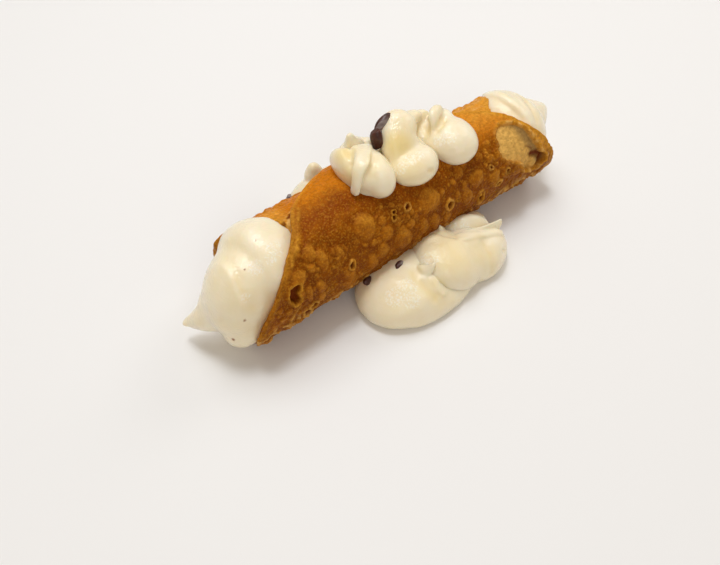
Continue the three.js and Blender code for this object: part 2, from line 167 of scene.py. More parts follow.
def bubbles(points: np.ndarray, size: float, radii: tuple, share: float, seed: int) -> tuple:
    """Round bubbles strewn in space, one to a lattice cell at most.

    Each cell's bubble has a random middle, a random radius between the two radii, and stands only
    where its own random number is below the share. Its dome is 1 - d squared, where d is the
    distance from its middle in radii.

    Args:
        points: where to work it out, in mm.
        size: the lattice cell's side.
        radii: smallest and largest radius.
        share: share of the cells that hold a bubble.
        seed: number that chooses the pattern.

    Returns:
        The highest dome, from 0 to 1, and how near the point lies to a bubble's foot, 0 to 1.
    """
    base = np.floor(points / size)
    dome, foot = np.zeros(points.shape[:-1]), np.zeros(points.shape[:-1])
    for corner in np.ndindex(3, 3, 3):
        cell = base + np.array(corner) - 1
        shift = np.stack([hashed(cell, seed + axis) for axis in (1, 2, 3)], axis=-1)
        middle = (cell + BUBBLE_MARGIN + BUBBLE_PLAY * shift) * size
        radius = radii[0] + (radii[1] - radii[0]) * hashed(cell, seed + 4) ** 2
        d = np.linalg.norm(points - middle, axis=-1) / radius
        height = (hashed(cell, seed + 5) < share) * radius / radii[1]
        dome = np.maximum(dome, np.clip(1 - d * d, 0, None) * height)
        foot = np.maximum(foot, bell(d - FOOT_AT, FOOT_WIDTH) * height)
    return dome, foot


def near_path(points: np.ndarray, path: np.ndarray) -> tuple:
    """How far points lie from a path of straight stretches.

    Args:
        points: the points, in a plane or in space.
        path: the corners of the path.

    Returns:
        Each point's distance from the path, and its offset from the nearest place on it.
    """
    best = np.full(len(points), np.inf)
    offset = np.zeros_like(points)
    for start, end in zip(path[:-1], path[1:]):
        way = end - start
        t = np.clip((points - start) @ way / (way @ way), 0, 1)
        gap = points - (start + t[:, None] * way)
        distance = np.linalg.norm(gap, axis=1)
        closer = distance < best
        best = np.where(closer, distance, best)
        offset[closer] = gap[closer]
    return best, offset


def spots(points: np.ndarray, marks: list, core: float, reach: float = 1.0) -> np.ndarray:
    """How near points lie to the nearest of some round marks.

    Args:
        points: where to work it out.
        marks: x, y, z and radius of each mark, and how strong it is where that isn't 1.
        core: share of the radius within which a mark is full.
        reach: share of the radius at which it ends.

    Returns:
        A number for each point, 0 outside all marks.
    """
    most = np.zeros(len(points))
    for x, y, z, radius, *strength in marks:
        distance = np.linalg.norm(points - (x, y, z), axis=1)
        spot = 1 - smoothstep(distance, core * radius, reach * radius)
        most = np.maximum(most, strength[0] * spot if strength else spot)
    return most


def outside_by(u: np.ndarray, v: np.ndarray, corners: np.ndarray) -> np.ndarray:
    """How far places in a plane lie outside a closed outline.

    Args:
        u: the places' first coordinate.
        v: their second one.
        corners: the outline's corners in order.

    Returns:
        The distance from the outline, negative inside it.
    """
    best = np.full(u.shape, np.inf)
    inside = np.zeros(u.shape, bool)
    for (u0, v0), (u1, v1) in zip(corners, np.roll(corners, -1, axis=0)):
        du, dv = u1 - u0, v1 - v0
        t = np.clip(((u - u0) * du + (v - v0) * dv) / (du * du + dv * dv), 0, 1)
        best = np.minimum(best, np.hypot(u - u0 - t * du, v - v0 - t * dv))
        if dv:
            crosses = ((v0 <= v) != (v1 <= v)) & (u < u0 + (v - v0) * du / dv)
            inside ^= crosses
    return np.where(inside, -best, best)


# ---- meshes -------------------------------------------------------------------------------------


@dataclass
class Skin:
    """A surface: its points in mm and its faces."""

    points: np.ndarray
    faces: list

    def plus(self, other: "Skin") -> "Skin":
        """Both skins in one, not welded.

        Args:
            other: the skin to add.

        Returns:
            The skin with the faces of both.
        """
        shift = len(self.points)
        moved = [[i + shift for i in face] for face in other.faces]
        return Skin(np.concatenate([self.points, other.points]), self.faces + moved)


def ring_skin(rings: np.ndarray, closed: bool = False, caps: tuple = ()) -> Skin:
    """A skin over rings of points: each ring joins the next, and every ring closes on itself.

    Args:
        rings: rings by points by 3.
        closed: whether the last ring joins the first.
        caps: the two points that close the first and the last ring.

    Returns:
        The skin, turned so that its faces point out of its volume.
    """
    count, around = rings.shape[:2]
    j = np.arange(count if closed else count - 1)[:, None]
    i = np.arange(around)[None, :]
    a, b = j * around + i, j * around + (i + 1) % around
    c, d = (j + 1) % count * around + (i + 1) % around, (j + 1) % count * around + i
    faces = np.stack([a, b, c, d], axis=-1).reshape(-1, 4).tolist()
    points = rings.reshape(-1, 3)
    if caps:
        points = np.concatenate([points, np.array(caps, float)])
        first, last = count * around, (count - 1) * around
        faces += [[first, (k + 1) % around, k] for k in range(around)]
        faces += [[first + 1, last + k, last + (k + 1) % around] for k in range(around)]
    return facing_out(Skin(points, faces))


def facing_out(skin: Skin) -> Skin:
    """Turns a skin's faces round if it encloses a negative volume.

    Args:
        skin: the closed skin.

    Returns:
        The skin with its faces looking outwards.
    """
    corners = np.array([face[:3] for face in skin.faces])
    p, q, r = (skin.points[corners[:, k]] for k in range(3))
    volume = np.einsum("ij,ij->i", np.cross(p, q), r).sum()
    quads = np.array([face for face in skin.faces if len(face) == 4])
    if len(quads):
        p, q, r = skin.points[quads[:, 0]], skin.points[quads[:, 2]], skin.points[quads[:, 3]]
        volume += np.einsum("ij,ij->i", np.cross(p, q), r).sum()
    return skin if volume > 0 else Skin(skin.points, [face[::-1] for face in skin.faces])


def lump(centre: tuple, half: tuple, turn: tuple = (0, 0, 0), cells: tuple = (40, 64)) -> Skin:
    """A ball on a grid of latitude and longitude, stretched to half sizes, turned and placed.

    Args:
        centre: middle of the lump.
        half: half sizes along its own x, y and z.
        turn: turns about x, y and z in degrees.
        cells: faces from pole to pole and round.

    Returns:
        The closed skin.
    """
    polar = np.linspace(0, math.pi, cells[0] + 1)[1:-1, None]
    round_ = np.linspace(0, 2 * math.pi, cells[1], endpoint=False)[None, :]
    rings = np.stack([np.sin(polar) * np.cos(round_), np.sin(polar) * np.sin(round_),
                      np.cos(polar) * np.ones_like(round_)], axis=-1)
    rotate = turned(turn)
    poles = np.array([[0, 0, 1], [0, 0, -1]]) * half @ rotate.T + centre
    return ring_skin(rings * half @ rotate.T + centre, caps=tuple(poles))


def turned(degrees: tuple) -> np.ndarray:
    """The matrix that turns about x, then y, then z.

    Args:
        degrees: the three turns.

    Returns:
        The matrix of three rows.
    """
    result = np.eye(3)
    for axis, angle in enumerate(np.radians(degrees)):
        i, j = (axis + 1) % 3, (axis + 2) % 3
        step = np.eye(3)
        step[i, i] = step[j, j] = math.cos(angle)
        step[i, j], step[j, i] = -math.sin(angle), math.sin(angle)
        result = step @ result
    return result


# A rope's first and last ring have this share of its size, and the caps close them.
ROPE_END = 0.15


def rope(stations: list, up: tuple = (0, 0, 1), sides: int = 28, steps: int = 10,
         square: float = 1.0) -> Skin:
    """A rope of cream: an oval carried along a smooth path.

    Args:
        stations: x, y, z, half width and half height at places along the path.
        up: the direction that the oval's height leans to.
        sides: points round the oval.
        steps: rings between two stations.
        square: 1 for an oval, less for a section with fuller corners.

    Returns:
        The closed skin.
    """
    table = np.array(stations, float)
    chord = np.linalg.norm(np.diff(table[:, :3], axis=0), axis=1)
    length = np.concatenate([[0], np.cumsum(chord)])
    at = np.linspace(0, length[-1], (len(table) - 1) * steps + 1)
    x, y, z, width, height = (
        through(list(zip(length, table[:, k])), at) for k in range(5))
    spine = np.stack([x, y, z], axis=-1)
    ahead = np.gradient(spine, at, axis=0)
    ahead /= np.linalg.norm(ahead, axis=1)[:, None]
    side = np.cross(up, ahead)
    side /= np.linalg.norm(side, axis=1)[:, None]
    lift = np.cross(ahead, side)
    turn = np.linspace(0, 2 * math.pi, sides, endpoint=False)
    across = np.sign(np.cos(turn)) * np.abs(np.cos(turn)) ** square
    above = np.sign(np.sin(turn)) * np.abs(np.sin(turn)) ** square
    # the ends close along a quarter circle as long as they are wide, so the rope ends round
    reach = np.where(at < at[-1] / 2, width[0], width[-1])
    share = np.clip(np.minimum(at, length[-1] - at) / reach, 0, 1)
    ends = np.maximum(np.sqrt(1 - (1 - share) ** 2), ROPE_END)
    width, height = (width * ends)[:, None, None], (height * ends)[:, None, None]
    rings = spine[:, None] + width * across[None, :, None] * side[:, None]
    rings = rings + height * above[None, :, None] * lift[:, None]
    return ring_skin(rings, caps=(spine[0], spine[-1]))


def make_piece(name: str, skin: Skin, material: bpy.types.Material) -> bpy.types.Object:
    """Turns a skin into a smooth-shaded mesh object that rides on the body.

    Args:
        name: the piece's name.
        skin: its surface in mm.
        material: its finish.

    Returns:
        The new object, at the origin, in metres.
    """
    mesh = bpy.data.meshes.new(name)
    mesh.from_pydata((skin.points * MM).tolist(), [], skin.faces)
    mesh.update()
    mesh.materials.append(material)
    mesh.polygons.foreach_set("use_smooth", np.ones(len(mesh.polygons), bool))
    piece = bpy.data.objects.new(name, mesh)
    bpy.context.scene.collection.objects.link(piece)
    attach(piece, BODY)
    return piece


def places_of(piece: bpy.types.Object) -> np.ndarray:
    """Reads the places of a piece's vertices.

    Args:
        piece: the piece.

    Returns:
        A row of x, y and z in mm for each vertex.
    """
    co = np.empty(len(piece.data.vertices) * 3)
    piece.data.vertices.foreach_get("co", co)
    return co.reshape(-1, 3) / MM


def normals_of(piece: bpy.types.Object) -> np.ndarray:
    """Reads the normals of a piece's vertices.

    Args:
        piece: the piece.

    Returns:
        A row of x, y and z for each vertex, one long.
    """
    normals = np.empty(len(piece.data.vertices) * 3)
    piece.data.vertex_normals.foreach_get("vector", normals)
    return normals.reshape(-1, 3)


def move_to(piece: bpy.types.Object, points: np.ndarray) -> None:
    """Puts the piece's vertices at new places in mm."""
    piece.data.vertices.foreach_set("co", (points * MM).ravel())
    piece.data.update()


def paint(piece: bpy.types.Object, layer: str, values: np.ndarray) -> None:
    """Stores one number for each vertex, which the material reads by the layer's name."""
    attribute = piece.data.attributes.new(layer, "FLOAT", "POINT")
    attribute.data.foreach_set("value", np.ascontiguousarray(values, np.float32).ravel())


def bake_modifiers(piece: bpy.types.Object) -> None:
    """Makes what the piece's modifiers give its own mesh, and removes them.

    Args:
        piece: the piece.
    """
    graph = bpy.context.evaluated_depsgraph_get()
    mesh = bpy.data.meshes.new_from_object(piece.evaluated_get(graph))
    piece.modifiers.clear()
    piece.data = mesh
    mesh.polygons.foreach_set("use_smooth", np.ones(len(mesh.polygons), bool))


# ---- finishes -----------------------------------------------------------------------------------


def linear(code: str) -> tuple:
    """The linear colour of an sRGB hex value such as "#8a4a10".

    Args:
        code: the hex value.

    Returns:
        Red, green, blue and full alpha.
    """
    srgb = np.array([int(code[i:i + 2], 16) / 255 for i in (1, 3, 5)])
    value = np.where(srgb <= 0.04045, srgb / 12.92, ((srgb + 0.055) / 1.055) ** 2.4)
    return (*value.tolist(), 1.0)


def per_metre(size: float) -> float:
    """The scale of a texture on metres whose features are this many mm across."""
    return 1 / (size * MM)


def add_node(tree: bpy.types.NodeTree, kind: str, settings: dict, inputs: dict) -> bpy.types.Node:
    """Adds a node to a tree.

    Args:
        tree: the node tree.
        kind: the node's type name.
        settings: values of the node's own properties.
        inputs: for each input socket, by name or number, a value or an output socket to link.

    Returns:
        The new node.
    """
    node = tree.nodes.new(kind)
    for name, value in settings.items():
        setattr(node, name, value)
    for name, value in inputs.items():
        if isinstance(value, bpy.types.NodeSocket):
            tree.links.new(value, node.inputs[name])
        else:
            node.inputs[name].default_value = value
    return node


# A Mix node's sockets for colours, which share their names with those for numbers.
MIX_SHARE, MIX_FIRST, MIX_SECOND, MIX_RESULT = 0, 6, 7, 2

# What an input of a node takes: a number or a colour of its own, or another node's output.
Number = float | bpy.types.NodeSocket
Colour = tuple | bpy.types.NodeSocket


@dataclass
class Finish:
    """A material being built: its tree, its shader and the object's own coordinates."""

    name: str
    tree: bpy.types.NodeTree = field(init=False)
    shader: bpy.types.Node = field(init=False)
    place: bpy.types.NodeSocket = field(init=False)
    material: bpy.types.Material = field(init=False)

    def __post_init__(self) -> None:
        """Makes the empty material with its shader."""
        self.material = bpy.data.materials.new(self.name)
        self.material.use_nodes = True
        self.tree = self.material.node_tree
        self.shader = self.tree.nodes["Principled BSDF"]
        self.place = self.add("ShaderNodeTexCoord", {}, {}).outputs["Object"]

    def add(self, kind: str, settings: dict, inputs: dict) -> bpy.types.Node:
        """Adds a node to this material."""
        return add_node(self.tree, kind, settings, inputs)

    def layer(self, name: str) -> bpy.types.NodeSocket:
        """The number that each vertex stores under a name."""
        return self.add("ShaderNodeAttribute", {"attribute_name": name}, {}).outputs["Fac"]

    def noise(self, size: float, detail: float = 2.0, low: float = 0.0, high: float = 1.0,
              middle: float = 0.5, spread: float = 0.2) -> bpy.types.NodeSocket:
        """Noise spread over a range.

        Args:
            size: how many mm across its features are.
            detail: how many finer octaves it has.
            low: value where the noise is lowest.
            high: value where it is highest.
            middle: the raw noise that becomes the middle of the range, more for rarer specks.
            spread: how far from it the raw noise reaches the range's ends, less for sharper ones.

        Returns:
            The socket with the value.
        """
        texture = self.add("ShaderNodeTexNoise", {},
                           {"Vector": self.place, "Scale": per_metre(size), "Detail": detail})
        ranged = self.add("ShaderNodeMapRange", {"clamp": True}, {
            "Value": texture.outputs["Fac"], "From Min": middle - spread,
            "From Max": middle + spread, "To Min": low, "To Max": high})
        return ranged.outputs["Result"]

    def domes(self, size: float) -> bpy.types.NodeSocket:
        """Domes packed side by side.

        Args:
            size: how many mm they lie apart.

        Returns:
            The socket with the value, 1 on their tops and 0 between them.
        """
        texture = self.add("ShaderNodeTexVoronoi", {},
                           {"Vector": self.place, "Scale": per_metre(size)})
        ranged = self.add("ShaderNodeMapRange", {"clamp": True}, {
            "Value": texture.outputs["Distance"], "From Min": 0.6, "From Max": 0.1})
        return ranged.outputs["Result"]

    def times(self, first: Number, second: Number) -> bpy.types.NodeSocket:
        """The product of two numbers."""
        node = self.add("ShaderNodeMath", {"operation": "MULTIPLY"}, {0: first, 1: second})
        return node.outputs[0]

    def over(self, under: Colour, colour: Colour, share: Number) -> bpy.types.NodeSocket:
        """A colour laid over another one by a share.

        Args:
            under: the colour so far.
            colour: the colour laid over it.
            share: how much of it shows, 0 to 1.

        Returns:
            The new colour.
        """
        node = self.add("ShaderNodeMix", {"data_type": "RGBA"},
                        {MIX_SHARE: share, MIX_FIRST: under, MIX_SECOND: colour})
        return node.outputs[MIX_RESULT]

    def lay(self, under: Colour, colour: str, layer: str, *patches: float) -> bpy.types.NodeSocket:
        """Lays a colour over another one by a layer.

        Args:
            under: the colour so far.
            colour: the hex value laid over it.
            layer: the layer's name.
            patches: what noise takes, where the layer shows in uneven patches.

        Returns:
            The new colour.
        """
        share = self.layer(layer)
        if patches:
            share = self.times(share, self.noise(*patches))
        return self.over(under, linear(colour), share)

    def bump(self, height: bpy.types.NodeSocket, depth: float, strength: float,
             under: bpy.types.NodeSocket | None = None) -> bpy.types.NodeSocket:
        """A bumped normal.

        Args:
            height: the heights, from 0 to 1.
            depth: how many mm a height of 1 stands for.
            strength: how much of the bump shows.
            under: the normal that it is laid on, if that is bumped itself.

        Returns:
            The socket with the normal.
        """
        inputs = {"Height": height, "Distance": depth * MM, "Strength": strength}
        if under is not None:
            inputs["Normal"] = under
        return self.add("ShaderNodeBump", {}, inputs).outputs["Normal"]

    def feed(self, **sockets: Number | Colour) -> bpy.types.Material:
        """Sets the shader's sockets.

        Args:
            sockets: a value or a link for each socket, named with underlines for spaces.

        Returns:
            The finished material.
        """
        for name, value in sockets.items():
            socket = self.shader.inputs[name.replace("_", " ")]
            if isinstance(value, bpy.types.NodeSocket):
                self.tree.links.new(value, socket)
            else:
                socket.default_value = value
        return self.material


@dataclass(frozen=True)
class FriedCrust:
    """Wheat pastry fried in oil: brown, golden blisters, creases in painted shade, a thin oil coat.
    """

    brown: str = "#b46704"
    deep: str = "#884001"
    golden: str = "#d6912b"
    # the upper side's orange, partly its own colour and partly painted light
    orange: str = "#d87e0c"
    toast: str = "#8e3f02"
    honey: str = "#f4aa3c"
    rim: str = "#e4a232"
    # painted shade in low places and on the low front side; also dark mottles, pores, a rim line
    crease: str = "#663002"
    # painted shade in holes, pits, the slit, the cavity and the crack
    hole_shade: str = "#6a2a04"
    inside: str = "#f2be64"
    # painted shadow on part of the broken blister's floor
    floor_shadow: str = "#b08c52"
    dusk: str = "#8a6430"
    crumb: str = "#f0be6c"
    oil: float = 0.06
    # How many mm across its patterns are: browned patches, packed bubbles, dark mottles, pale
    # specks, pores, and the puckers and grain of the relief. Fried flour's own grain is a fifth
    # of a millimetre or less, which wouldn't show, so it is drawn about three times as coarse.
    browned: float = 4
    packed: float = 1.2
    mottled: float = 1.1
    speck: float = 0.6
    pore: float = 0.8
    pucker: float = 1.6
    grain: float = 0.55

    def material(self) -> bpy.types.Material:
        """Builds the finish from the layers that the pastry paints.

        Returns:
            The material.
        """
        f = Finish("fried_wheat_pastry")
        colour = f.over(linear(self.brown), linear(self.deep), f.noise(self.browned, 4))
        # painted shade between the blisters and on the low front side; also a dark line by the left
        # rim
        colour = f.lay(colour, self.crease, "crease", 1.2, 2, 0.4)
        colour = f.lay(colour, self.toast, "toast", 2.4, 3, 0.5)
        # the upper side in orange: partly its own colour, partly painted light
        colour = f.lay(colour, self.orange, "bright")
        colour = f.lay(colour, self.honey, "honey", 3, 3, 0.5)
        colour = f.lay(colour, self.golden, "golden", 1.8, 3, 0.5)
        colour = f.lay(colour, self.rim, "rim", 1.3, 2, 0.4)
        # fine bubbles stand packed in rough places: painted shade in brown between, golden on their
        # tops
        fine = f.times(f.layer("fine"), f.noise(2.5, 2, 0.3))
        domes = f.domes(self.packed)
        colour = f.over(colour, linear(self.crease), f.times(fine, 0.3))
        colour = f.over(colour, linear(self.golden), f.times(f.times(fine, domes), 0.7))
        # sandy grain of the fried flour: dark mottles, pale specks and a few dark pores
        colour = f.over(colour, linear(self.crease), f.noise(self.mottled, 3, 0, 0.42))
        colour = f.over(colour, linear(self.rim), f.noise(self.speck, 1, 0, 0.26, 0.6, 0.1))
        colour = f.over(colour, linear(self.crease), f.noise(self.pore, 1, 0, 0.3, 0.72, 0.05))
        # the broken blister's floor: pale dough, grey in its painted shadow, mottled with brown
        inside = f.lay(linear(self.inside), self.floor_shadow, "floor_shadow")
        inside = f.over(inside, linear(self.dusk), f.noise(1.3, 4, 0, 0.5))
        colour = f.over(colour, inside, f.layer("inside"))
        colour = f.lay(colour, self.crumb, "crumb", 0.7, 2, 0.3)
        # painted shade darkens the holes, pits, slit, cavity and crack
        colour = f.lay(colour, self.hole_shade, "hole_shade")
        grain = f.bump(f.noise(self.grain, 2), 0.16, 0.8)
        grain = f.bump(f.noise(self.pucker, 2), 0.3, 0.7, grain)
        grain = f.bump(f.times(fine, domes), 0.4, 0.9, grain)
        return f.feed(Base_Color=colour, Roughness=f.noise(self.mottled, 2, 0.3, 0.5),
                      Normal=grain, IOR=1.46, Specular_IOR_Level=self.oil)


@dataclass(frozen=True)
class RicottaCream:
    """Sweet ricotta whipped smooth: ivory, moist and faintly see-through, with a fine grain."""

    ivory: str = "#f7ebcf"
    # painted warm shade and glow in the folds, creases and hollows
    warm: str = "#ecd388"
    shade: str = "#f0deb2"
    zest: str = "#9c6226"
    # white of the painted glints, which also stand for the cheese's whiter grains
    curd_glint_white: str = "#fffdf4"
    # How many mm across its patterns are: shaded patches, soft unevenness, dull and glossy
    # places, white specks that are painted glints and the cheese's whiter grains, and the beads
    # of whey, drawn coarser than real ones so that they show.
    patches: float = 9
    uneven: float = 3.2
    gloss: float = 1.6
    curd_glints: float = 0.6
    beads: float = 0.75

    def material(self) -> bpy.types.Material:
        """Builds the finish from the layers that the cream paints.

        Returns:
            The material.
        """
        f = Finish("whipped_ricotta_cream")
        colour = f.over(linear(self.ivory), linear(self.shade), f.noise(self.patches, 2, 0, 0.6))
        # painted warm shade in the folds and creases, and painted glow in the hollows
        colour = f.lay(colour, self.warm, "fold")
        # white specks where the grain is thick: painted glints, and the cheese's whiter grains
        colour = f.lay(colour, self.curd_glint_white, "curd_glints", self.curd_glints, 2, 0, 0.6, 0.56, 0.12)
        colour = f.lay(colour, self.zest, "fleck")
        # the whey on the surface is a thin glossy coat that stands in beads over the fine grain
        beads = f.times(f.noise(self.beads, 2), f.layer("grain"))
        soft = f.bump(f.noise(self.uneven, 2), 0.12, 0.4)
        return f.feed(Base_Color=colour, Roughness=f.noise(self.gloss, 2, 0.36, 0.52),
                      Normal=f.bump(beads, 0.08, 0.5, soft), Coat_Weight=0.8, Coat_Roughness=0.15,
                      Coat_IOR=1.45, Coat_Normal=f.bump(beads, 0.19, 1.0, soft),
                      IOR=1.44, Subsurface_Weight=0.35, Subsurface_Radius=(1.0, 0.72, 0.42),
                      Subsurface_Scale=0.0035)


@dataclass(frozen=True)
class DarkChocolate:
    """Cast dark chocolate broken into chips: near black brown, satin, cream smear, painted sheen.
    """

    brown: str = "#37160a"
    red: str = "#562410"
    # grey of the cream smear and of the painted sheen
    film_and_sheen: str = "#a89b96"

    def material(self) -> bpy.types.Material:
        """Builds the finish, grey on one side: a smear of cream and a painted sheen.

        Returns:
            The material.
        """
        f = Finish("dark_chocolate")
        colour = f.over(linear(self.brown), linear(self.red), f.noise(1.5, 2, 0, 0.8))
        # grey on one side: cream smear and painted sheen
        colour = f.lay(colour, self.film_and_sheen, "film_and_sheen")
        return f.feed(Base_Color=colour, Roughness=f.noise(1.0, 2, 0.28, 0.5),
                      Normal=f.bump(f.noise(0.8, 2), 0.1, 0.5), IOR=1.5)


@dataclass(frozen=True)
class PaleFloor:
    """Matt pale laminate of the studio floor, a warm off-white with almost no gloss."""

    white: str = "#eeedec"

    def material(self) -> bpy.types.Material:
        """Builds the plain floor's finish."""
        return Finish("pale_matt_laminate").feed(
            Base_Color=linear(self.white), Roughness=0.6, IOR=1.3)


# ---- the pastry ---------------------------------------------------------------------------------


@dataclass(frozen=True)
class Blister:
    """A bubble in the crust: its place, half sizes along and round the tube, and its rise."""

    x: float
    angle: float
    along: float
    across: float
    rise: float
    golden: float = 0.8


@dataclass(frozen=True)
class Crater:
    """A bubble that burst: a raised ring with a hole in it."""

    x: float
    angle: float
    along: float
    across: float
    hole: float = 0.45
    rise: float = 0.55
    depth: float = 0.9


@dataclass(frozen=True)
class Strewn:
    """Bubbles of one size, strewn by rule: lattice cell, radii, rise and share of the cells."""

    cell: float
    radii: tuple
    rise: float
    share: float
    seed: int


@dataclass(frozen=True)
class Zone:
    """A stretch of the crust with soft ends, each given as where it starts and where it is full."""

    angle: tuple
    angle_end: tuple = ()
    x: tuple = ()
    strength: float = 1.0

    def share(self, x: np.ndarray, angle: np.ndarray) -> np.ndarray:
        """How much of the zone lies at each place.

        Args:
            x: places along the tube.
            angle: angles round it.

        Returns:
            The zone's strength inside it, falling to 0 past its ends.
        """
        share = self.strength * smoothstep(angle, *self.angle)
        if self.angle_end:
            share = share * smoothstep(angle, *self.angle_end)
        if self.x:
            share = share * smoothstep(x, *self.x)
        return share


@dataclass(frozen=True)
class Crease:
    """A line on the crust, given as x and angle: a groove or a ridge with a pale edge."""

    corners: tuple
    width: float
    rise: float
    pale: float = 0.0
    crumb: float = 0.0


@dataclass
class TubeForm:
    """The plain tube that every height of the crust is measured from."""

    radius: float = 18.6
    taper: float = 0.007
    flat: float = 0.4

    def radius_at(self, x: np.ndarray) -> np.ndarray:
        """The outer layer's radius, slightly smaller to the right."""
        return self.radius - self.taper * x

    def axis_height(self, x: np.ndarray) -> np.ndarray:
        """How high the tube's axis lies above the floor."""
        return self.radius_at(x) - self.flat

    def place(self, x: np.ndarray, angle: np.ndarray, radius: np.ndarray) -> np.ndarray:
        """Points round the tube, never below the floor.

        Args:
            x: places along the tube.
            angle: angles round it.
            radius: distances from its axis.

        Returns:
            The points in space.
        """
        turn = np.radians(angle)
        z = self.axis_height(x) + radius * np.sin(turn)
        return np.stack([x + 0 * turn, -radius * np.cos(turn), np.maximum(z, 0)], axis=-1)


@dataclass
class Sheet:
    """A grid on the crust while its relief is worked out.

    It holds the places, the same places bent by noise so that what is drawn there is uneven, the
    heights in mm over the plain tube, and the colour layers, which run from 0 to 1.
    """

    tube: TubeForm
    x: np.ndarray
    angle: np.ndarray
    points: np.ndarray = field(init=False)
    bent_x: np.ndarray = field(init=False)
    bent_angle: np.ndarray = field(init=False)
    wobble: np.ndarray = field(init=False)
    patchy: np.ndarray = field(init=False)
    taken: np.ndarray = field(init=False)
    height: np.ndarray = field(init=False)
    layers: dict = field(init=False)

    def __post_init__(self) -> None:
        """Works out the places in space, as if there were no floor, and starts at no height."""
        radius, turn = self.tube.radius_at(self.x), np.radians(self.angle)
        self.points = self.tube.place(self.x, self.angle, radius)
        self.points[..., 2] = self.tube.axis_height(self.x) + radius * np.sin(turn)
        along, round_ = (mottle(self.points, seed, (3.4, 0.55), (1.3, 0.2)) for seed in (17, 21))
        self.bent_x = self.x + along
        self.bent_angle = self.angle + np.degrees(round_ / self.tube.radius)
        self.wobble = mottle(self.points, 3, (3.1, 0.16), (1.2, 0.1))
        self.patchy = smoothstep(lattice_noise(self.points, 2.1, 25), -0.7, 0.5)
        self.taken, self.height = np.zeros_like(self.x), np.zeros_like(self.x)
        names = ("golden", "crease", "hole_shade", "fine", "rim", "crumb")
        self.layers = {name: np.zeros_like(self.x) for name in names}

    def raise_layer(self, name: str, values: np.ndarray) -> None:
        """Brings a layer up to the values wherever it is below them."""
        self.layers[name] = np.maximum(self.layers[name], values)

    def zone(self, zone: Zone) -> np.ndarray:
        """How much of a zone lies at each place."""
        return zone.share(self.x, self.angle)

    def on_arc(self, angle: np.ndarray) -> np.ndarray:
        """Angles as ways round the plain tube in mm."""
        return np.radians(angle) * self.tube.radius

    def reach(self, mark: Blister | Crater, bent: bool = True) -> np.ndarray:
        """How far places lie from a mark's middle.

        Args:
            mark: the blister or crater.
            bent: whether the places bent by noise are taken.

        Returns:
            The distance in the mark's own radii.
        """
        x, angle = (self.bent_x, self.bent_angle) if bent else (self.x, self.angle)
        return np.hypot((x - mark.x) / mark.along, self.on_arc(angle - mark.angle) / mark.across)

    def unrolled(self, corners: tuple) -> np.ndarray:
        """Corners given as x and angle, laid out flat in mm."""
        return np.array([(x, self.on_arc(angle)) for x, angle in corners])

    def outline(self, corners: tuple) -> np.ndarray:
        """Signed distance in mm from an outline given as x and angle, negative inside it."""
        return outside_by(self.x, self.on_arc(self.angle), self.unrolled(corners))

    def from_line(self, corners: tuple, bent: bool = False) -> np.ndarray:
        """How far places lie from a line.

        Args:
            corners: the line, as x and angle.
            bent: whether the places bent by noise are taken.

        Returns:
            The distance in mm.
        """
        x, angle = (self.bent_x, self.bent_angle) if bent else (self.x, self.angle)
        flat = np.stack([x, self.on_arc(angle)], axis=-1).reshape(-1, 2)
        return near_path(flat, self.unrolled(corners))[0].reshape(x.shape)


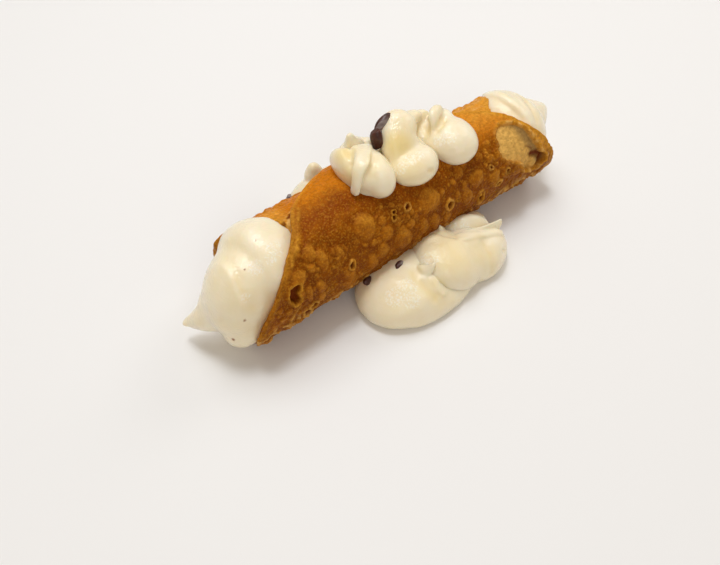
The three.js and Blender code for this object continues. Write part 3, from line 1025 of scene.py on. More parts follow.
@dataclass(frozen=True)
class BrokenBlister:
    """The large blister that broke open near the right mouth, down to a pale floor."""

    outline: tuple = (
        (40.4, 63), (42.2, 63), (44.2, 61), (46.1, 58), (49, 51), (51.2, 37), (53.6, 19),
        (55.5, 10), (57.5, 2), (57, -3), (53.5, -7), (49.8, -6), (46, 0), (45.2, 9), (43.5, 16),
        (39.8, 21), (36.7, 30), (36.1, 40), (37.1, 45), (37.3, 53), (38.1, 59))
    cavity: tuple = ((51.2, 12.5), (54, 9.5), (56, 4), (55.8, -1), (53.2, -5.5))
    crack: tuple = ((48, 28), (49.6, 24.5), (51.4, 20))
    # The thin skin left standing in the cavity, and the flake that curls up at the lower lip.
    membrane: Blister = Blister(51.8, 0, 2.2, 2.6, 1.3)
    flake: Blister = Blister(43, 11, 2.8, 2.8, 1.3)
    # Depths of the floor, of what the floor falls to the right, of the cavity and the crack, and
    # the deepest that all of them reach together.
    floor: float = 0.8
    floor_fall: float = 0.8
    cavity_depth: float = 0.9
    crack_depth: float = 0.3
    deepest: float = 2.1
    # Widths of the wall, the cavity, the crack and the lip.
    wall: float = 0.7
    cavity_width: float = 1.4
    crack_width: float = 0.4
    lip_width: float = 0.6
    # The lip's height where it is lowest and what it gains where it is torn.
    lip_low: float = 0.4
    lip_torn: float = 0.5

    def cut_into(self, s: Sheet, ragged: np.ndarray) -> None:
        """Cuts the opening into the heights and paints it.

        Args:
            s: the sheet that it is cut into.
            ragged: noise in mm that makes its edge uneven.
        """
        outer = s.outline(self.outline) + ragged
        within = smoothstep(outer, 0, -self.wall)
        cavity = bell(s.from_line(self.cavity), self.cavity_width)
        crack = bell(s.from_line(self.crack), self.crack_width)
        skin = np.clip(1 - s.reach(self.membrane, bent=False) ** 2, 0, None)
        floor = -self.floor - self.floor_fall * smoothstep(s.x - 0.12 * s.angle, 43, 52)
        floor += mottle(s.points, 13, (2.6, 0.25), (0.9, 0.14)) + self.membrane.rise * skin ** 0.7
        floor -= self.cavity_depth * cavity * (skin <= 0) + self.crack_depth * crack
        # the left side of the opening is flush, the others have a torn lip
        torn_side = smoothstep(s.x + 0.05 * s.angle, 40.5, 44.5)
        lip = self.lip_low + self.lip_torn * smoothstep(ragged, -0.3, 0.3)
        lip = lip * bell(outer - 0.5, self.lip_width) * torn_side
        flake = self.flake.rise * bell(s.reach(self.flake, bent=False), 1)
        lip = lip + flake * bell(outer - 0.2, 1.5 * self.lip_width)
        s.height = (s.height + lip) * (1 - within) + np.maximum(floor, -self.deepest) * within
        s.layers = {name: values * (1 - within) for name, values in s.layers.items()}
        s.layers["inside"] = within * smoothstep(-outer, 0.1, 0.8)
        # painted shadow: the floor turns grey to the right of a slanting line
        shadowed = smoothstep(s.x + 0.13 * (s.angle - 40) + 2 * ragged, 45.8, 48.8)
        s.layers["floor_shadow"] = within * shadowed
        edge = bell(outer - 0.3, 0.65) * (0.3 + 0.7 * torn_side)
        s.raise_layer("rim", edge)
        s.raise_layer("crumb", 0.9 * edge * smoothstep(ragged, -0.1, 0.25))
        # painted shade in the cavity and the crack
        s.raise_layer("hole_shade", within * np.maximum(cavity * (skin <= 0.1), 0.45 * crack))


@dataclass(frozen=True)
class Slit:
    """The ragged slit near the left mouth, with its pale raised edge."""

    outline: tuple = (
        (-50.3, 26), (-48, 27), (-46.9, 24), (-47.4, 20), (-48.4, 18), (-48.2, 10), (-49.1, 7),
        (-50.3, 7), (-51.3, 14), (-51.3, 20))
    depth: float = 1.5
    lip: float = 0.35
    lip_width: float = 0.5

    def cut_into(self, s: Sheet, ragged: np.ndarray) -> None:
        """Cuts the slit into the heights and paints it.

        Args:
            s: the sheet that it is cut into.
            ragged: noise in mm that makes its edge uneven.
        """
        outer = s.outline(self.outline) + 0.6 * ragged
        cut = 1 - smoothstep(outer, -0.5, 0.1)
        lip = self.lip * bell(outer - self.lip_width, self.lip_width)
        s.height = (s.height + lip) * (1 - cut) - self.depth * cut
        # the slit's inside is darkened: painted shade
        s.raise_layer("hole_shade", 0.9 * cut)
        s.layers["rim"] = np.maximum(s.layers["rim"] * (1 - cut), bell(outer - 0.3, 0.45))


@dataclass
class CrustRelief:
    """Heights of the fried crust over the plain tube, and the layers that colour it."""

    tube: TubeForm
    blisters: list = field(default_factory=lambda: [
        Blister(-20.3, 42, 4.2, 4.0, 1.1, 1), Blister(-14.3, 38, 1.6, 1.9, 0.6),
        Blister(4.1, 31, 4.6, 4.2, 1.1, 1), Blister(-8.6, 9, 3.3, 5, 1.1),
        Blister(-14.2, 24, 2.2, 2.4, 0.7), Blister(-9.2, 28, 1, 1.1, 0.4),
        Blister(-4.8, 20, 1.6, 1.9, 0.6), Blister(-9.2, 47, 1, 1, 0.35),
        Blister(-0.4, 30, 0.9, 0.9, 0.4), Blister(0.1, 7, 1.9, 3.2, 0.8),
        Blister(4.9, 5, 1.9, 3.4, 0.8), Blister(-20.9, 3, 2, 3.4, 0.8),
        Blister(-16.9, 8, 2.4, 3, 0.8), Blister(-40.3, 46, 2.3, 2.6, 0.9, 1),
        Blister(-37.4, 34, 2, 4, 1, 1), Blister(-31.4, 33, 1.3, 2.3, 0.6, 1),
        Blister(-30.2, -2, 2.7, 6, 1), Blister(-44.8, 11, 1.3, 3, 0.6),
        Blister(-40.6, 11, 1.4, 2.6, 0.7, 1), Blister(-41, -4, 1.3, 2.3, 0.5, 1),
        Blister(-46.9, 31, 2.6, 2.6, 0.8, 1), Blister(15.8, 19, 1.1, 1.5, 0.4),
        Blister(19.3, 10, 2.3, 3.2, 0.8), Blister(17.8, 41, 1.7, 1.9, 0.6),
        Blister(24, 26, 2.9, 3.1, 1, 1), Blister(31.8, 37, 1.9, 1.7, 0.6),
        Blister(32.1, 13, 2.8, 3.4, 0.9, 1), Blister(10.3, 1, 1.5, 2.4, 0.6),
        Blister(19, 25, 1.1, 1.6, 0.4), Blister(10.8, 51, 1.1, 1, 0.3),
        Blister(31.1, 44, 0.8, 0.8, 0.4, 1), Blister(27.5, 44, 2, 2, 0.3, 0.4),
        Blister(-9.2, 31.8, 1.3, 0.9, 0.8, 1), Blister(-5.4, 29, 0.9, 0.9, 0.8, 1),
        Blister(-3.4, 31.4, 0.9, 1, 0.7, 1), Blister(-32.8, 28.8, 0.8, 0.8, 0.5, 1),
        Blister(-34.8, 22.8, 0.8, 0.8, 0.5, 1), Blister(30.2, 41.3, 0.6, 0.6, 0.5, 1),
        Blister(34.1, 40.5, 0.6, 0.6, 0.5, 1), Blister(33.5, 29.3, 0.7, 0.7, 0.5, 1),
        Blister(32.7, 52.4, 1.6, 1.4, 0.3, 0.8), Blister(18.2, 42.2, 1.6, 2.2, 0.6),
        Blister(-14, 129, 9, 7, 1.1, 0), Blister(42.4, 7.5, 3, 2.4, 1.1, 0.9),
    ])
    craters: list = field(default_factory=lambda: [
        Crater(-9.7, 40, 1.5, 1.1, 0.4, 0.6, 0.8), Crater(-10.2, 35.6, 1.4, 1.3, 0.45, 0.7, 0.8),
        Crater(-4.5, 37.4, 1.7, 1.4, 0.4, 0.8), Crater(-29, 14, 1.7, 2.4, 0.35, 0.8, 1.1),
        Crater(11.6, 15, 2.2, 2.8, 0.4, 0.8, 1), Crater(30.7, 27, 1.5, 1.6, 0.25, 0.9, 0.3),
        Crater(25.7, -2, 2, 3.6, 0.42, 0.7, 0.9), Crater(33.6, 7, 2.3, 1.6, 0.5, 0.8, 1.1),
        Crater(-44, -9, 2.1, 1.7, 0.5, 0.7, 1), Crater(-46.6, -16, 2.2, 2.6, 0.5, 0.6, 0.8),
        Crater(43.6, -17, 2.0, 1.6, 0.5, 0.5, 0.8), Crater(37.8, 13.4, 1.4, 1.2, 0.5, 0.7, 0.8),
    ])
    creases: list = field(default_factory=lambda: [
        Crease(((-35.1, 87), (-38.4, 75), (-40.4, 66), (-43.4, 55), (-47.3, 46)), 0.8, 0.3, 0.9),
        Crease(((-47.3, 46), (-51.6, 33), (-54.8, 23)), 0.8, 0.2, 0.4),
        Crease(((-49.3, 3), (-51, -4), (-52.6, -10), (-53.5, -22)), 0.6, 0.35, 0.9, 0.3),
        Crease(((34.4, -8), (31.6, -11), (29.4, -17), (28.5, -22)), 0.5, -0.5, 0.9, 0.2),
        Crease(((35, 109), (39.5, 109.5), (45, 106.5)), 0.7, -0.8, 0.9, 1),
        Crease(((33, 114.5), (38.7, 115.5), (43.6, 113), (47, 117), (50.4, 122), (53.5, 127)),
               0.8, 0.6, 0.7, 0.2),
    ])
    # Places rough with fine bubbles: x, angle and radius in mm.
    rough: list = field(default_factory=lambda: [
        (-6.8, 34, 4.6), (-9, 23, 2.6), (-34, 21, 4), (-32.8, 29, 2), (31.6, 33, 3),
        (-46, -14, 5), (-38, 2, 3), (14, 14, 2.4), (39, 10, 3)])
    broken: BrokenBlister = BrokenBlister()
    slit: Slit = Slit()
    strewn: tuple = (
        Strewn(6.4, (1.8, 3.8), 0.95, 0.9, 20), Strewn(3.4, (0.8, 1.8), 0.5, 0.85, 40),
        Strewn(1.8, (0.45, 0.85), 0.26, 0.75, 60))
    # The flap's smooth upper face, the underside, the low side with painted shadow, the crumbs'
    # strip.
    calm: Zone = Zone((50, 66), (134, 118))
    below: Zone = Zone((2, -12))
    shaded: Zone = Zone((26, 2), x=(-24, -12), strength=0.55)
    crumbs: Zone = Zone((-40, -28), (-6, -16))
    # The share of the strewn bubbles that the upper face loses.
    calm_loss: float = 0.86
    # Blisters broader than this, in mm, are low pillows, and the others fuller beads: powers of
    # their domes, how much wider than listed all of them are, and the groove round them.
    broad: float = 2.6
    pillow: float = 1.3
    bead: float = 0.9
    swell: float = 1.14
    groove: float = 0.14
    # A crater's ring: how far out from its hole and how wide, in radii.
    ring_at: float = 0.26
    ring_width: float = 0.17
    crumb_rise: float = 0.35

    def work_out(self, x: np.ndarray, angle: np.ndarray) -> Sheet:
        """Works out the relief and its layers.

        Args:
            x: places along the tube.
            angle: angles round it.

        Returns:
            The sheet with its heights over the plain radius and its colour layers.
        """
        sheet = Sheet(self.tube, x, angle)
        self.raise_blisters(sheet)
        self.burst_craters(sheet)
        self.roughen(sheet)
        self.strew_bubbles(sheet)
        self.darken(sheet)
        self.ripple(sheet)
        self.draw_creases(sheet)
        self.hang_crumbs(sheet)
        ragged = mottle(sheet.points, 11, (1.3, 0.35), (0.6, 0.2))
        self.broken.cut_into(sheet, ragged)
        self.slit.cut_into(sheet, ragged)
        return sheet

    def raise_blisters(self, s: Sheet) -> None:
        """Raises the named blisters: (1 - d squared) to a power, with a shallow groove round it.

        Args:
            s: the sheet that they are raised on.
        """
        for mark in self.blisters:
            d = s.reach(mark) * (1 + s.wobble) / self.swell
            power = self.pillow if mark.along > self.broad else self.bead
            dome = np.clip(1 - d * d, 0, None) ** power
            s.height = np.maximum(s.height, mark.rise * dome * (0.8 + 0.3 * s.patchy))
            s.height -= self.groove * mark.rise * bell(d - 1.1, 0.18) * s.patchy
            # painted light: the golden leans to each blister's right and upper side, as if lit from
            # there
            to_right = (s.bent_x - mark.x) / mark.along
            up = s.on_arc(s.bent_angle - mark.angle) / mark.across
            lit_side = np.clip(0.62 + 0.4 * to_right + 0.175 * up, 0.15, 1.1)
            shine = np.clip(mark.golden * (0.7 + 0.3 * s.patchy) * lit_side, 0, 1)
            s.raise_layer("golden", shine * smoothstep(1 - d * d, 0, 0.6))
            s.taken = np.maximum(s.taken, 1 - smoothstep(d, 0.9, 1.3))

    def burst_craters(self, s: Sheet) -> None:
        """Opens the craters: a ring that rises as exp(-((d - r) / w) squared) round a hole.

        Args:
            s: the sheet that they are opened in.
        """
        torn = s.wobble + 0.3 * lattice_noise(s.points, 0.8, 5)
        for mark in self.craters:
            d = s.reach(mark) * (1 + 0.8 * torn)
            ring = bell(d - (mark.hole + self.ring_at), self.ring_width)
            ring = ring * np.clip(0.9 + 1.5 * torn, 0.3, 1.4)
            pale = np.clip(ring, 0, 1)
            hole = 1 - smoothstep(d, mark.hole * 0.75, mark.hole * 1.1)
            inside = 1 - smoothstep(d, 0.9, 1.2)
            s.height = s.height * (1 - 0.6 * inside) + mark.rise * ring - mark.depth * hole
            s.raise_layer("rim", pale)
            s.raise_layer("crumb", 0.5 * pale * s.patchy)
            s.layers["golden"] = np.maximum(s.layers["golden"] * (1 - 0.7 * inside), ring)
            # the hole is darkened: painted shade
            s.raise_layer("hole_shade", hole)
            s.taken = np.maximum(s.taken, 1 - smoothstep(d, 1.0, 1.4))

    def roughen(self, s: Sheet) -> None:
        """Marks where fine bubbles stand packed: the named places, the underside and patches.

        Args:
            s: the sheet that is marked.
        """
        for x, angle, radius in self.rough:
            distance = np.hypot(s.x - x, s.on_arc(s.angle - angle))
            s.raise_layer("fine", 1 - smoothstep(distance / radius, 0.4, 1.1))
        s.raise_layer("fine", 0.7 * s.zone(self.below))
        patches = smoothstep(lattice_noise(s.points, 5, 27), 0.4, 0.8)
        s.raise_layer("fine", 0.4 * patches * (1 - s.zone(self.calm)))

    def strew_bubbles(self, s: Sheet) -> None:
        """Strews bubbles of three sizes between the marks, few on the smooth upper face.

        Args:
            s: the sheet that they are strewn on.
        """
        busy = (1 - self.calm_loss * s.zone(self.calm)) * (1 - s.taken)
        for kind in self.strewn:
            dome, foot = bubbles(s.points, kind.cell, kind.radii, kind.share, kind.seed)
            s.height += kind.rise * (dome ** self.bead - 0.12 * foot) * busy
            s.raise_layer("golden", (0.35 + 0.5 * s.patchy) * smoothstep(dome, 0, 0.9) * busy)

    def darken(self, s: Sheet) -> None:
        """Paints shade: darkens what lies low between blisters, and the low front side as shadow.

        Args:
            s: the sheet that is darkened.
        """
        low = 0.8 * (1 - smoothstep(s.height + 0.5 * s.wobble, -0.05, 0.45))
        low = low * (1 - s.zone(self.calm))
        low = low * (0.55 + 0.45 * smoothstep(lattice_noise(s.points, 7, 28), -0.4, 0.4))
        s.layers["crease"] = np.maximum(low, s.zone(self.shaded))

    def ripple(self, s: Sheet) -> None:
        """Adds the sheet's slow waves, its grain, and the relief of the rough places.

        Args:
            s: the sheet that they are added to.
        """
        s.height += mottle(s.points, 7, (13, 0.25), (4.5, 0.12))
        s.height += 0.05 * lattice_noise(s.points, 0.9, 9)
        lumps = 0.22 * s.zone(self.below) * lattice_noise(s.points, 1.7, 29)
        s.height += s.layers["fine"] * (0.14 * lattice_noise(s.points, 0.9, 10) + lumps)

    def draw_creases(self, s: Sheet) -> None:
        """Draws the grooves and ridges, with their pale edges and crumbs.

        Args:
            s: the sheet that they are drawn on.
        """
        for line in self.creases:
            distance = s.from_line(line.corners, bent=True)
            s.height += line.rise * bell(distance, line.width)
            shown = bell(distance, line.width * 1.1) * (0.4 + 0.6 * s.patchy)
            s.raise_layer("rim", line.pale * shown)
            s.raise_layer("crumb", line.crumb * shown)

    def hang_crumbs(self, s: Sheet) -> None:
        """Hangs loose crumbs of flour along the underside.

        Args:
            s: the sheet that they hang on.
        """
        crumbs = smoothstep(lattice_noise(s.points, 1.5, 33), 0.15, 0.5) * s.zone(self.crumbs)
        s.height += self.crumb_rise * crumbs
        s.raise_layer("crumb", 0.7 * crumbs)


# Edges of the rolled tube: each pair is an angle round the tube and the x that the edge reaches.
TUBE_LEFT = [
    (-90, -63), (-50, -63.6), (-14, -62.4), (5, -58.6), (26, -52.4), (48, -46.2), (72, -40.4),
    (92, -41), (108, -43), (120, -46.5), (138, -52.6), (160, -57), (215, -60)]
TUBE_RIGHT = [
    (-90, 60.5), (-50, 61.4), (-6, 60.4), (14, 57.6), (39, 52.8), (57, 48), (75, 44.2),
    (92, 44.8), (113, 49.6), (130, 53.5), (165, 58), (215, 59.8)]
# Rings of points from a rim's outer face round to its inner one.
RIM_STEPS = 5


@dataclass
class Pastry:
    """The fried pastry: a rolled tube and the outer flap of the same sheet that laps over it."""

    tube: TubeForm
    material: bpy.types.Material
    bore_radius: float = 15.2
    bore_forward: float = 0.5
    bore_down: float = 1.4
    # The flap's rims curl up by this much, fading over a distance, and are thinner by this much.
    rim_rise: float = 0.45
    rim_reach: float = 2.5
    rim_thin: float = 1.1
    thin_reach: float = 3.0
    # How far the rims' round edges stand out, and a rim's length for each degree.
    flap_swell: float = 0.55
    roll_swell: float = 0.5
    rim_arc: float = 0.325
    flap_left: list = field(default_factory=lambda: [
        (-60, -62.2), (-35, -63.8), (-14, -64), (5, -60.4), (26, -54.3), (48, -47.9),
        (70, -41.3), (92, -36.6), (111, -27.7), (135, -17), (162, -4.5)])
    flap_right: list = field(default_factory=lambda: [
        (-60, 60.5), (-32, 62), (-6, 61.4), (14, 58.6), (39, 53.8), (57, 48.9), (75, 43.6),
        (94, 36.4), (111, 28), (135, 16), (162, 3.5)])
    # How far the inner layer lies below the outer layer's radius, by angle.
    inner_layer: list = field(default_factory=lambda: [
        (-90, 0), (-50, 0), (-28, -1.1), (0, -1.6), (60, -2.2), (80, -2.7), (135, -2.7),
        (180, -1.6), (225, -0.3)])
    # Angles where the flap begins, lies full, leaves off and ends, and its tuck at both ends.
    flap_span: tuple = (-55, -25, 120, 160)
    flap_tuck: tuple = (0.7, 1.1)
    # How far the flap's inner face reaches into the roll, and where its rings lie, right to left.
    bite: float = 0.7
    inner_cuts: tuple = (1, 0.99, 0.97, 0.94, 0.8, 0.5, 0.2, 0.06, 0.03, 0.01, 0)
    # The flap's grid: its rows lie closest on the face between two angles.
    flap_close: tuple = (-18, 62)
    flap_rows: tuple = (40, 92, 76)
    flap_columns: int = 412
    # The roll's grid, the heights it keeps, the strip inside its rims where they grow, the angles
    # from below between which they start, and how far it sinks under the broken blister.
    roll_grid: tuple = (300, 300)
    roll_heights: tuple = (-0.9, 0.7)
    flap_calm: float = 2.2
    roll_calm: float = 2.5
    bare_below: tuple = (18, 35)
    sunk: float = 1.2
    # The sheet turns orange above an angle, given at one x, that falls by so much to the mm, partly
    # its own colour and partly painted light on the upper side. It does so over a soft stretch,
    # leaves off behind, and has a toasted band of one width below.
    orange_x: float = -22
    orange_angle: float = 88
    orange_fall: float = 0.46
    orange_start: tuple = (-15, 14)
    orange_end: Zone = Zone((170, 135))
    toast_below: float = 18
    toast_width: float = 15
    toast_end: tuple = (24, 0)
    # Where it is honey coloured: high at the right, on top of the inner layer at the left, and
    # low by the right mouth.
    honey: tuple = (
        Zone((56, 86), x=(24, 40)), Zone((78, 92), (138, 112), x=(-36, -40), strength=0.85),
        Zone((-4, 20), x=(44, 50), strength=0.85))
    # How wide the pale rims are at the left and the right, and how pale.
    rim_left: float = 1.6
    rim_right: float = 2.2
    pale_left: tuple = (0.25, 0.65)
    pale_right: float = 0.85
    # The crumbly strip along the flap's left edge: its angles, and how far it lies from the edge.
    crumbly: Zone = Zone((74, 80), (124, 112))
    strip_start: tuple = (-0.5, 0)
    strip_end: tuple = (5, 2.4)
    relief: CrustRelief = field(init=False)

    def __post_init__(self) -> None:
        """Makes the relief that both layers share."""
        self.relief = CrustRelief(self.tube)

    def ragged_edge(self, x: np.ndarray, angle: np.ndarray, seed: int) -> np.ndarray:
        """An edge's x with the nicks and crumbs of a fried rim added to it."""
        at = np.stack([angle * self.rim_arc, 0 * angle + x.mean(), 0 * angle], axis=-1)
        return x + mottle(at, seed, (3.0, 0.4), (1.0, 0.25))

    def tone(self, sheet: Sheet, inward: np.ndarray, left: np.ndarray) -> None:
        """Adds the bright upper side (partly painted light), toasted and honey sides and pale rims.

        Args:
            sheet: the sheet, to whose layers this adds.
            inward: distance from the nearest rim.
            left: whether that rim is the left one, whose pale band is narrower and weaker.
        """
        # the sheet is orange high up, partly its own colour and partly painted light on the upper
        # side: high up at the left, lower at the right
        patches = mottle(sheet.points, 15, (6, 1), (2.5, 0.5))
        above = sheet.angle - self.orange_angle + self.orange_fall * (sheet.x - self.orange_x)
        above = above - 4 * patches
        sheet.layers["bright"] = smoothstep(above, *self.orange_start) * sheet.zone(self.orange_end)
        toast = bell(above + self.toast_below, self.toast_width)
        sheet.layers["toast"] = 0.9 * toast * smoothstep(sheet.x, *self.toast_end)
        sheet.layers["honey"] = np.max([sheet.zone(zone) for zone in self.honey], axis=0)
        edge = 1 - smoothstep(inward / np.where(left, self.rim_left, self.rim_right), 0.3, 1.3)
        low, high = self.pale_left
        pale_left = low + (high - low) * smoothstep(sheet.angle, 28, 52)
        sheet.raise_layer("rim", np.where(left, pale_left, self.pale_right) * edge)
        # a dark line along the left rim's edge, in the dark crease colour
        sheet.raise_layer("crease", 0.6 * left * bell(inward - 0.4, 0.5))

    def crumble(self, sheet: Sheet) -> None:
        """Paints a strip of pale crumbs and pits in painted shade on the roll by the flap's left
        edge.

        Args:
            sheet: the roll's sheet, to whose layers this adds.
        """
        from_flap = through(self.flap_left, sheet.angle) - sheet.x
        strip = smoothstep(from_flap, *self.strip_start) * smoothstep(from_flap, *self.strip_end)
        strip = strip * sheet.zone(self.crumbly)
        speckle = lattice_noise(sheet.points, 1.1, 71)
        sheet.raise_layer("crumb", strip * smoothstep(speckle, -0.2, 0.3))
        # the pits between the crumbs are darkened: painted shade
        sheet.raise_layer("hole_shade", 0.8 * strip * smoothstep(-speckle, 0.2, 0.5))

    def carried_on(self, layers: dict, inner: int, caps: int = 0) -> dict:
        """The outer face's layers with those of the rims, the inner face and the caps added.

        Args:
            layers: numbers for the outer face, in rings from the left rim to the right one.
            inner: how many points of a ring lie on the inner face, which is coloured as the right
                rim is.
            caps: how many points follow after the rings.

        Returns:
            One number for each point of the skin, by the layer's name.
        """
        result = {}
        for name, values in layers.items():
            right = np.repeat(values[:, -1:], RIM_STEPS + inner, axis=1)
            left = np.repeat(values[:, :1], RIM_STEPS, axis=1)
            rings = np.concatenate([values, right, left], axis=1)
            result[name] = np.concatenate([rings.ravel(), np.zeros(caps)])
        return result

    def flap_skin(self) -> tuple:
        """The flap's skin and its layers: the outer face, round rims and a plain inner face.

        Rings lie round the section at each angle: the outer face at the plain radius, less the
        tuck at both ends of the flap, plus the rim's curl and the relief. The rims are half ovals.

        Returns:
            The skin and a dictionary of layers, one number for each point.
        """
        start, start_full, end_full, end = self.flap_span
        close_from, close_to = self.flap_close
        before, between, after = self.flap_rows
        rows = np.concatenate([np.linspace(start, close_from, before, endpoint=False),
                               np.linspace(close_from, close_to, between, endpoint=False),
                               np.linspace(close_to, end, after)])[:, None]
        left = self.ragged_edge(through(self.flap_left, rows), rows, 31)
        right = self.ragged_edge(through(self.flap_right, rows), rows, 35)
        x = left + (right - left) * np.linspace(0, 1, self.flap_columns)[None, :]
        sheet = self.relief.work_out(x, rows + 0 * x)
        from_left, from_right = x - left, right - x
        inward = np.minimum(from_left, from_right)
        tuck = self.flap_tuck[0] * (1 - smoothstep(sheet.angle, start, start_full))
        tuck = tuck + self.flap_tuck[1] * smoothstep(sheet.angle, end_full, end)
        curl = self.rim_rise * np.exp(-inward / self.rim_reach)
        outer = self.tube.radius_at(x) - tuck + curl
        outer = outer + sheet.height * smoothstep(inward, 0, self.flap_calm)
        self.tone(sheet, inward, from_left < from_right)
        inner_x = left + (right - left) * np.array(self.inner_cuts)[None, :]
        inner = self.inner_face(inner_x, rows) + self.rim_thin * np.exp(
            -(inner_x - left) / self.thin_reach)
        t = np.linspace(0, math.pi, RIM_STEPS + 2)[1:-1][None, :]
        swell, share = self.flap_swell * np.sin(t), (1 - np.cos(t)) / 2
        right_top, right_low = outer[:, -1:], self.inner_face(x[:, -1:], rows)
        left_top, left_low = outer[:, :1], self.inner_face(x[:, :1], rows) + self.rim_thin
        all_x = np.concatenate([x, right + swell, inner_x, left - swell], axis=1)
        radius = np.concatenate([outer, right_top + (right_low - right_top) * share, inner,
                                 left_low + (left_top - left_low) * share], axis=1)
        places = self.tube.place(all_x, rows + 0 * all_x, radius)
        caps = (places[0].mean(0), places[-1].mean(0))
        skin = ring_skin(places, caps=caps)
        return skin, self.carried_on(sheet.layers, inner_x.shape[1], len(caps))

    def inner_face(self, x: np.ndarray, angle: np.ndarray) -> np.ndarray:
        """The radius of the flap's inner face, which bites a little into the roll."""
        return self.tube.radius_at(x) + through(
            self.inner_layer, angle + 0 * x, FULL_TURN) - self.bite

    def roll_skin(self) -> tuple:
        """The roll's skin and its layers: the outer face, round rims and the bore.

        Returns:
            The skin and a dictionary of layers, one number for each point.
        """
        count, columns = self.roll_grid
        rows = (-90 + np.linspace(0, FULL_TURN, count, endpoint=False))[:, None]
        left = self.ragged_edge(through(TUBE_LEFT, rows, FULL_TURN), rows, 41)
        right = self.ragged_edge(through(TUBE_RIGHT, rows, FULL_TURN), rows, 45)
        x = left + (right - left) * np.linspace(0, 1, columns)[None, :]
        sheet = self.relief.work_out(x, rows + 0 * x)
        inward = np.minimum(x - left, right - x)
        from_below = np.minimum(sheet.angle + 90, 270 - sheet.angle)
        height = np.clip(sheet.height, *self.roll_heights) * smoothstep(inward, 0, self.roll_calm)
        height = height * smoothstep(from_below, *self.bare_below)
        under = 1 - smoothstep(sheet.outline(self.relief.broken.outline), 0.5, 2)
        height = height * (1 - under) - self.sunk * under
        self.crumble(sheet)
        self.tone(sheet, inward, x < 0)
        outer = self.tube.radius_at(x) + through(self.inner_layer, sheet.angle, FULL_TURN) + height
        bore_x = left + (right - left) * np.linspace(1, 0, 7)[None, :]
        face, bore = self.tube.place(x, sheet.angle, outer), self.bore_place(bore_x, rows)
        rim_right = self.rim_places(face[:, -1], bore[:, 0], self.roll_swell)
        rim_left = self.rim_places(bore[:, -1], face[:, 0], -self.roll_swell)
        places = np.concatenate([face, rim_right, bore, rim_left], axis=1)
        return ring_skin(places, closed=True), self.carried_on(sheet.layers, bore.shape[1])

    def bore_place(self, x: np.ndarray, angle: np.ndarray) -> np.ndarray:
        """Points of the bore, whose middle lies a little nearer the front and the floor.

        Args:
            x: places along the tube.
            angle: angles round the bore.

        Returns:
            The points in space.
        """
        turn = np.radians(angle) + 0 * x
        return np.stack([x, -self.bore_forward - self.bore_radius * np.cos(turn),
                         self.tube.axis_height(x) - self.bore_down
                         + self.bore_radius * np.sin(turn)], axis=-1)

    def rim_places(self, start: np.ndarray, end: np.ndarray, swell: float) -> np.ndarray:
        """A rim's round edge: half an oval from one face to the other.

        Args:
            start: the points that it starts from, one for each row.
            end: the points that it ends at.
            swell: how far it stands out along x in between.

        Returns:
            The points between the two faces, row by row.
        """
        t = np.linspace(0, math.pi, RIM_STEPS + 2)[1:-1][None, :]
        share = ((1 - np.cos(t)) / 2)[..., None]
        places = start[:, None] + (end - start)[:, None] * share
        places[..., 0] += swell * np.sin(t)
        return places

    def build(self) -> None:
        """Makes the flap and the roll, which together stand for the shell."""
        for name, (skin, layers) in (("outer_flap", self.flap_skin()),
                                     ("rolled_tube", self.roll_skin())):
            piece = make_piece(name, skin, self.material)
            for layer, values in layers.items():
                paint(piece, layer, values)
            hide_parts("shell")
            LOG.info("%s: %d faces", name, len(piece.data.polygons))


# ---- the cream ----------------------------------------------------------------------------------


@dataclass(frozen=True)
class Stroke:
    """A ridge (rise above 0) or a crease (below 0) of the cream along a path."""

    path: tuple
    width: float
    rise: float


@dataclass(frozen=True)
class Fold:
    """A step in the cream along a path: the side that it leans to stands up over the other."""

    path: tuple
    width: float
    rise: float
    side: tuple
    edge: float = 0.5


